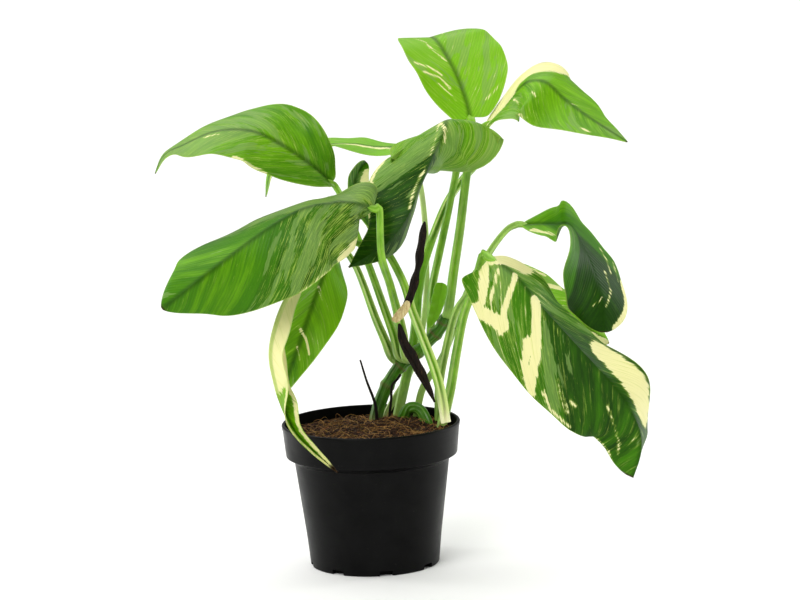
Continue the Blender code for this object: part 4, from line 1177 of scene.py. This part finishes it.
def makeSoil():
    peat = makeSoilMaterial("moistPeat", (soil["darkPeat"], soil["peat"], soil["redPeat"]), 420)
    coir = makeSoilMaterial("coirFibre", ("#6E4A26", soil["coir"], soil["paleCoir"]), 260)
    bark = makeSoilMaterial("barkChip", ("#3A2212", "#6B4426", "#9A6B3E"), 300)
    bed = makeSoilBed(peat)
    size = soil["crumbSize"] * mm
    # name, shape, material, count, size, spread of sizes, tilt, seed, clear of the rim in millimetres
    batches = [
        ("soil_crumbs_fine", crumbShape("fineCrumb", 0.28, (1, 0.8, 0.7)), peat, soil["crumbs"], size * 0.75,
         0.45, 1, 3, 3),
        ("soil_crumbs_coarse", crumbShape("coarseCrumb", 0.3, (1, 0.9, 0.8)), peat, 900, size * 1.9,
         0.35, 1, 5, 5),
        ("soil_chips", crumbShape("chip", 0.2, (1.5, 0.6, 0.3)), bark, soil["chips"], size * 1.7,
         0.5, 0.5, 8, 6),
        ("soil_fibres_flat", fibreShape("flatFibre", 0.009, 0.22, 0.1), coir, soil["fibres"],
         soil["fibreLength"] * mm, 0.5, 0.25, 11, 13),
        ("soil_fibres_arched", fibreShape("archedFibre", 0.011, -0.15, 0.3), coir, 150, 12 * mm,
         0.4, 0.3, 12, 11),
    ]
    for name, shape, material, count, shapeSize, spread, tilt, seed, clear in batches:
        reach = rimRadius - clear * mm
        mesh = scatterOnSoil(name, bed, shape, material, count, shapeSize, spread, tilt, seed, reach)
        addObject(name, mesh, material)
    print("soil made")


# Sheaths: short curved sheets with the leaves' outline

sheathHalfThickness = 0.3


def makeSheaths():
    for sheath in sheaths:
        name = sheath["name"]
        material = petioleMaterial if "short" in name else tornMaterial if "torn" in name else driedMaterial
        points = leafSurface(sheath)[0]
        half = np.full(points.shape[:2], sheathHalfThickness * mm)
        addObject(name + "_skin", thickSheet(name, points, half, half), material,
                  [] if "torn" in name else [name])


# Floor, light and camera

studio = {
    "floor": "#F4F4F2", "floorReach": 40, "ambient": 0.4,
    # a high soft light from behind gives the leaves their sheen, and a lower one in front fills them
    "suns": [("overheadLight", (-0.15, 0.5, 1.0), 1.7, 70), ("frontLight", (-0.55, -1.0, 0.95), 1.9, 40)],
    "strips": [("leftStrip", (-0.75, 0.25, 0.3)), ("rightStrip", (0.75, 0.25, 0.3))],
    "stripSize": (0.25, 0.7), "stripPower": 2.5, "stripsFace": (0, 0, 0.12),
    "camera": (0.0222, -2.2, 0.5326), "pitch": 9.138, "roll": 1.8, "lens": 150, "sensor": 36,
}


def addLamp(name, kind, place, target, power):
    light = bpy.data.lights.new(name, kind)
    light.energy = power
    lamp = newObject(name, light)
    lamp.location = place
    lamp.rotation_euler = (Vector(target) - Vector(place)).to_track_quat("-Z", "Y").to_euler()
    return light


def makeStage():
    size = studio["floorReach"]
    mesh = bpy.data.meshes.new("floor")
    corners = [(-size, -size, 0), (size, -size, 0), (size, size, 0), (-size, size, 0)]
    mesh.from_pydata(corners, [], [(0, 1, 2, 3)])
    made, tree = newMaterial("matteStudioFloor")
    place = addNode(tree, "ShaderNodeTexCoord", output=3)
    grain = addNode(tree, "ShaderNodeTexNoise", {}, {"Vector": place, "Scale": 4.0, "Detail": 2.0})
    gloss = addNode(tree, "ShaderNodeMapRange", {}, {0: grain, 3: 0.75, 4: 0.85})
    shader = addNode(tree, "ShaderNodeBsdfPrincipled", {},
                     {"Roughness": gloss, "Base Color": toLinear(studio["floor"]), "Specular IOR Level": 0.2})
    addNode(tree, "ShaderNodeOutputMaterial", {}, {0: shader})
    mesh.materials.append(made)
    newObject("floor", mesh)

    # The backdrop is white to look at, and gives only a little of the light
    world = bpy.data.worlds.new("studioWorld")
    world.use_nodes = True
    world.node_tree.nodes.clear()
    seen = addNode(world.node_tree, "ShaderNodeLightPath")
    strength = addNode(world.node_tree, "ShaderNodeMapRange", {}, {0: seen, 3: studio["ambient"], 4: 1.0})
    light = addNode(world.node_tree, "ShaderNodeBackground", {}, {0: (1, 1, 1, 1), 1: strength})
    addNode(world.node_tree, "ShaderNodeOutputWorld", {}, {0: light})
    bpy.context.scene.world = world
    for name, place, strength, spread in studio["suns"]:
        addLamp(name, "SUN", place, (0, 0, 0), strength).angle = math.radians(spread)
    for name, place in studio["strips"]:
        strip = addLamp(name, "AREA", place, studio["stripsFace"], studio["stripPower"])
        strip.shape = "RECTANGLE"
        strip.size, strip.size_y = studio["stripSize"]


def makeCamera():
    pitch, roll = math.radians(studio["pitch"]), math.radians(studio["roll"])
    forward = Vector((0, math.cos(pitch), -math.sin(pitch)))
    levelUp = Vector((0, math.sin(pitch), math.cos(pitch)))
    right = Vector((1, 0, 0)) * math.cos(roll) - levelUp * math.sin(roll)
    up = Vector((1, 0, 0)) * math.sin(roll) + levelUp * math.cos(roll)
    data = bpy.data.cameras.new("camera")
    data.lens, data.sensor_width = studio["lens"], studio["sensor"]
    camera = newObject("camera", data)
    turn = Matrix((right, up, -forward)).transposed().to_4x4()
    camera.matrix_world = Matrix.Translation(studio["camera"]) @ turn
    bpy.context.scene.camera = camera
    bpy.context.scene.view_settings.view_transform = "Standard"


makePot()
print("pot made")
makeSoil()
for number, leaf in enumerate(leaves):
    makeLeaf(leaf, number + 1)
print("leaves made")
for number, stalk in enumerate(stalks):
    material = {"vine": vineMaterial, "rhizome": vineMaterial}.get(stalk["name"], petioleMaterial)
    if "root" in stalk["name"] or "dry" in stalk["name"]:
        material = driedMaterial
    addObject(stalk["name"] + "_skin", makeStalk(stalk, number + 1), material, [stalk["name"]])
makeSheaths()
print("stalks made")
makeStage()
makeCamera()
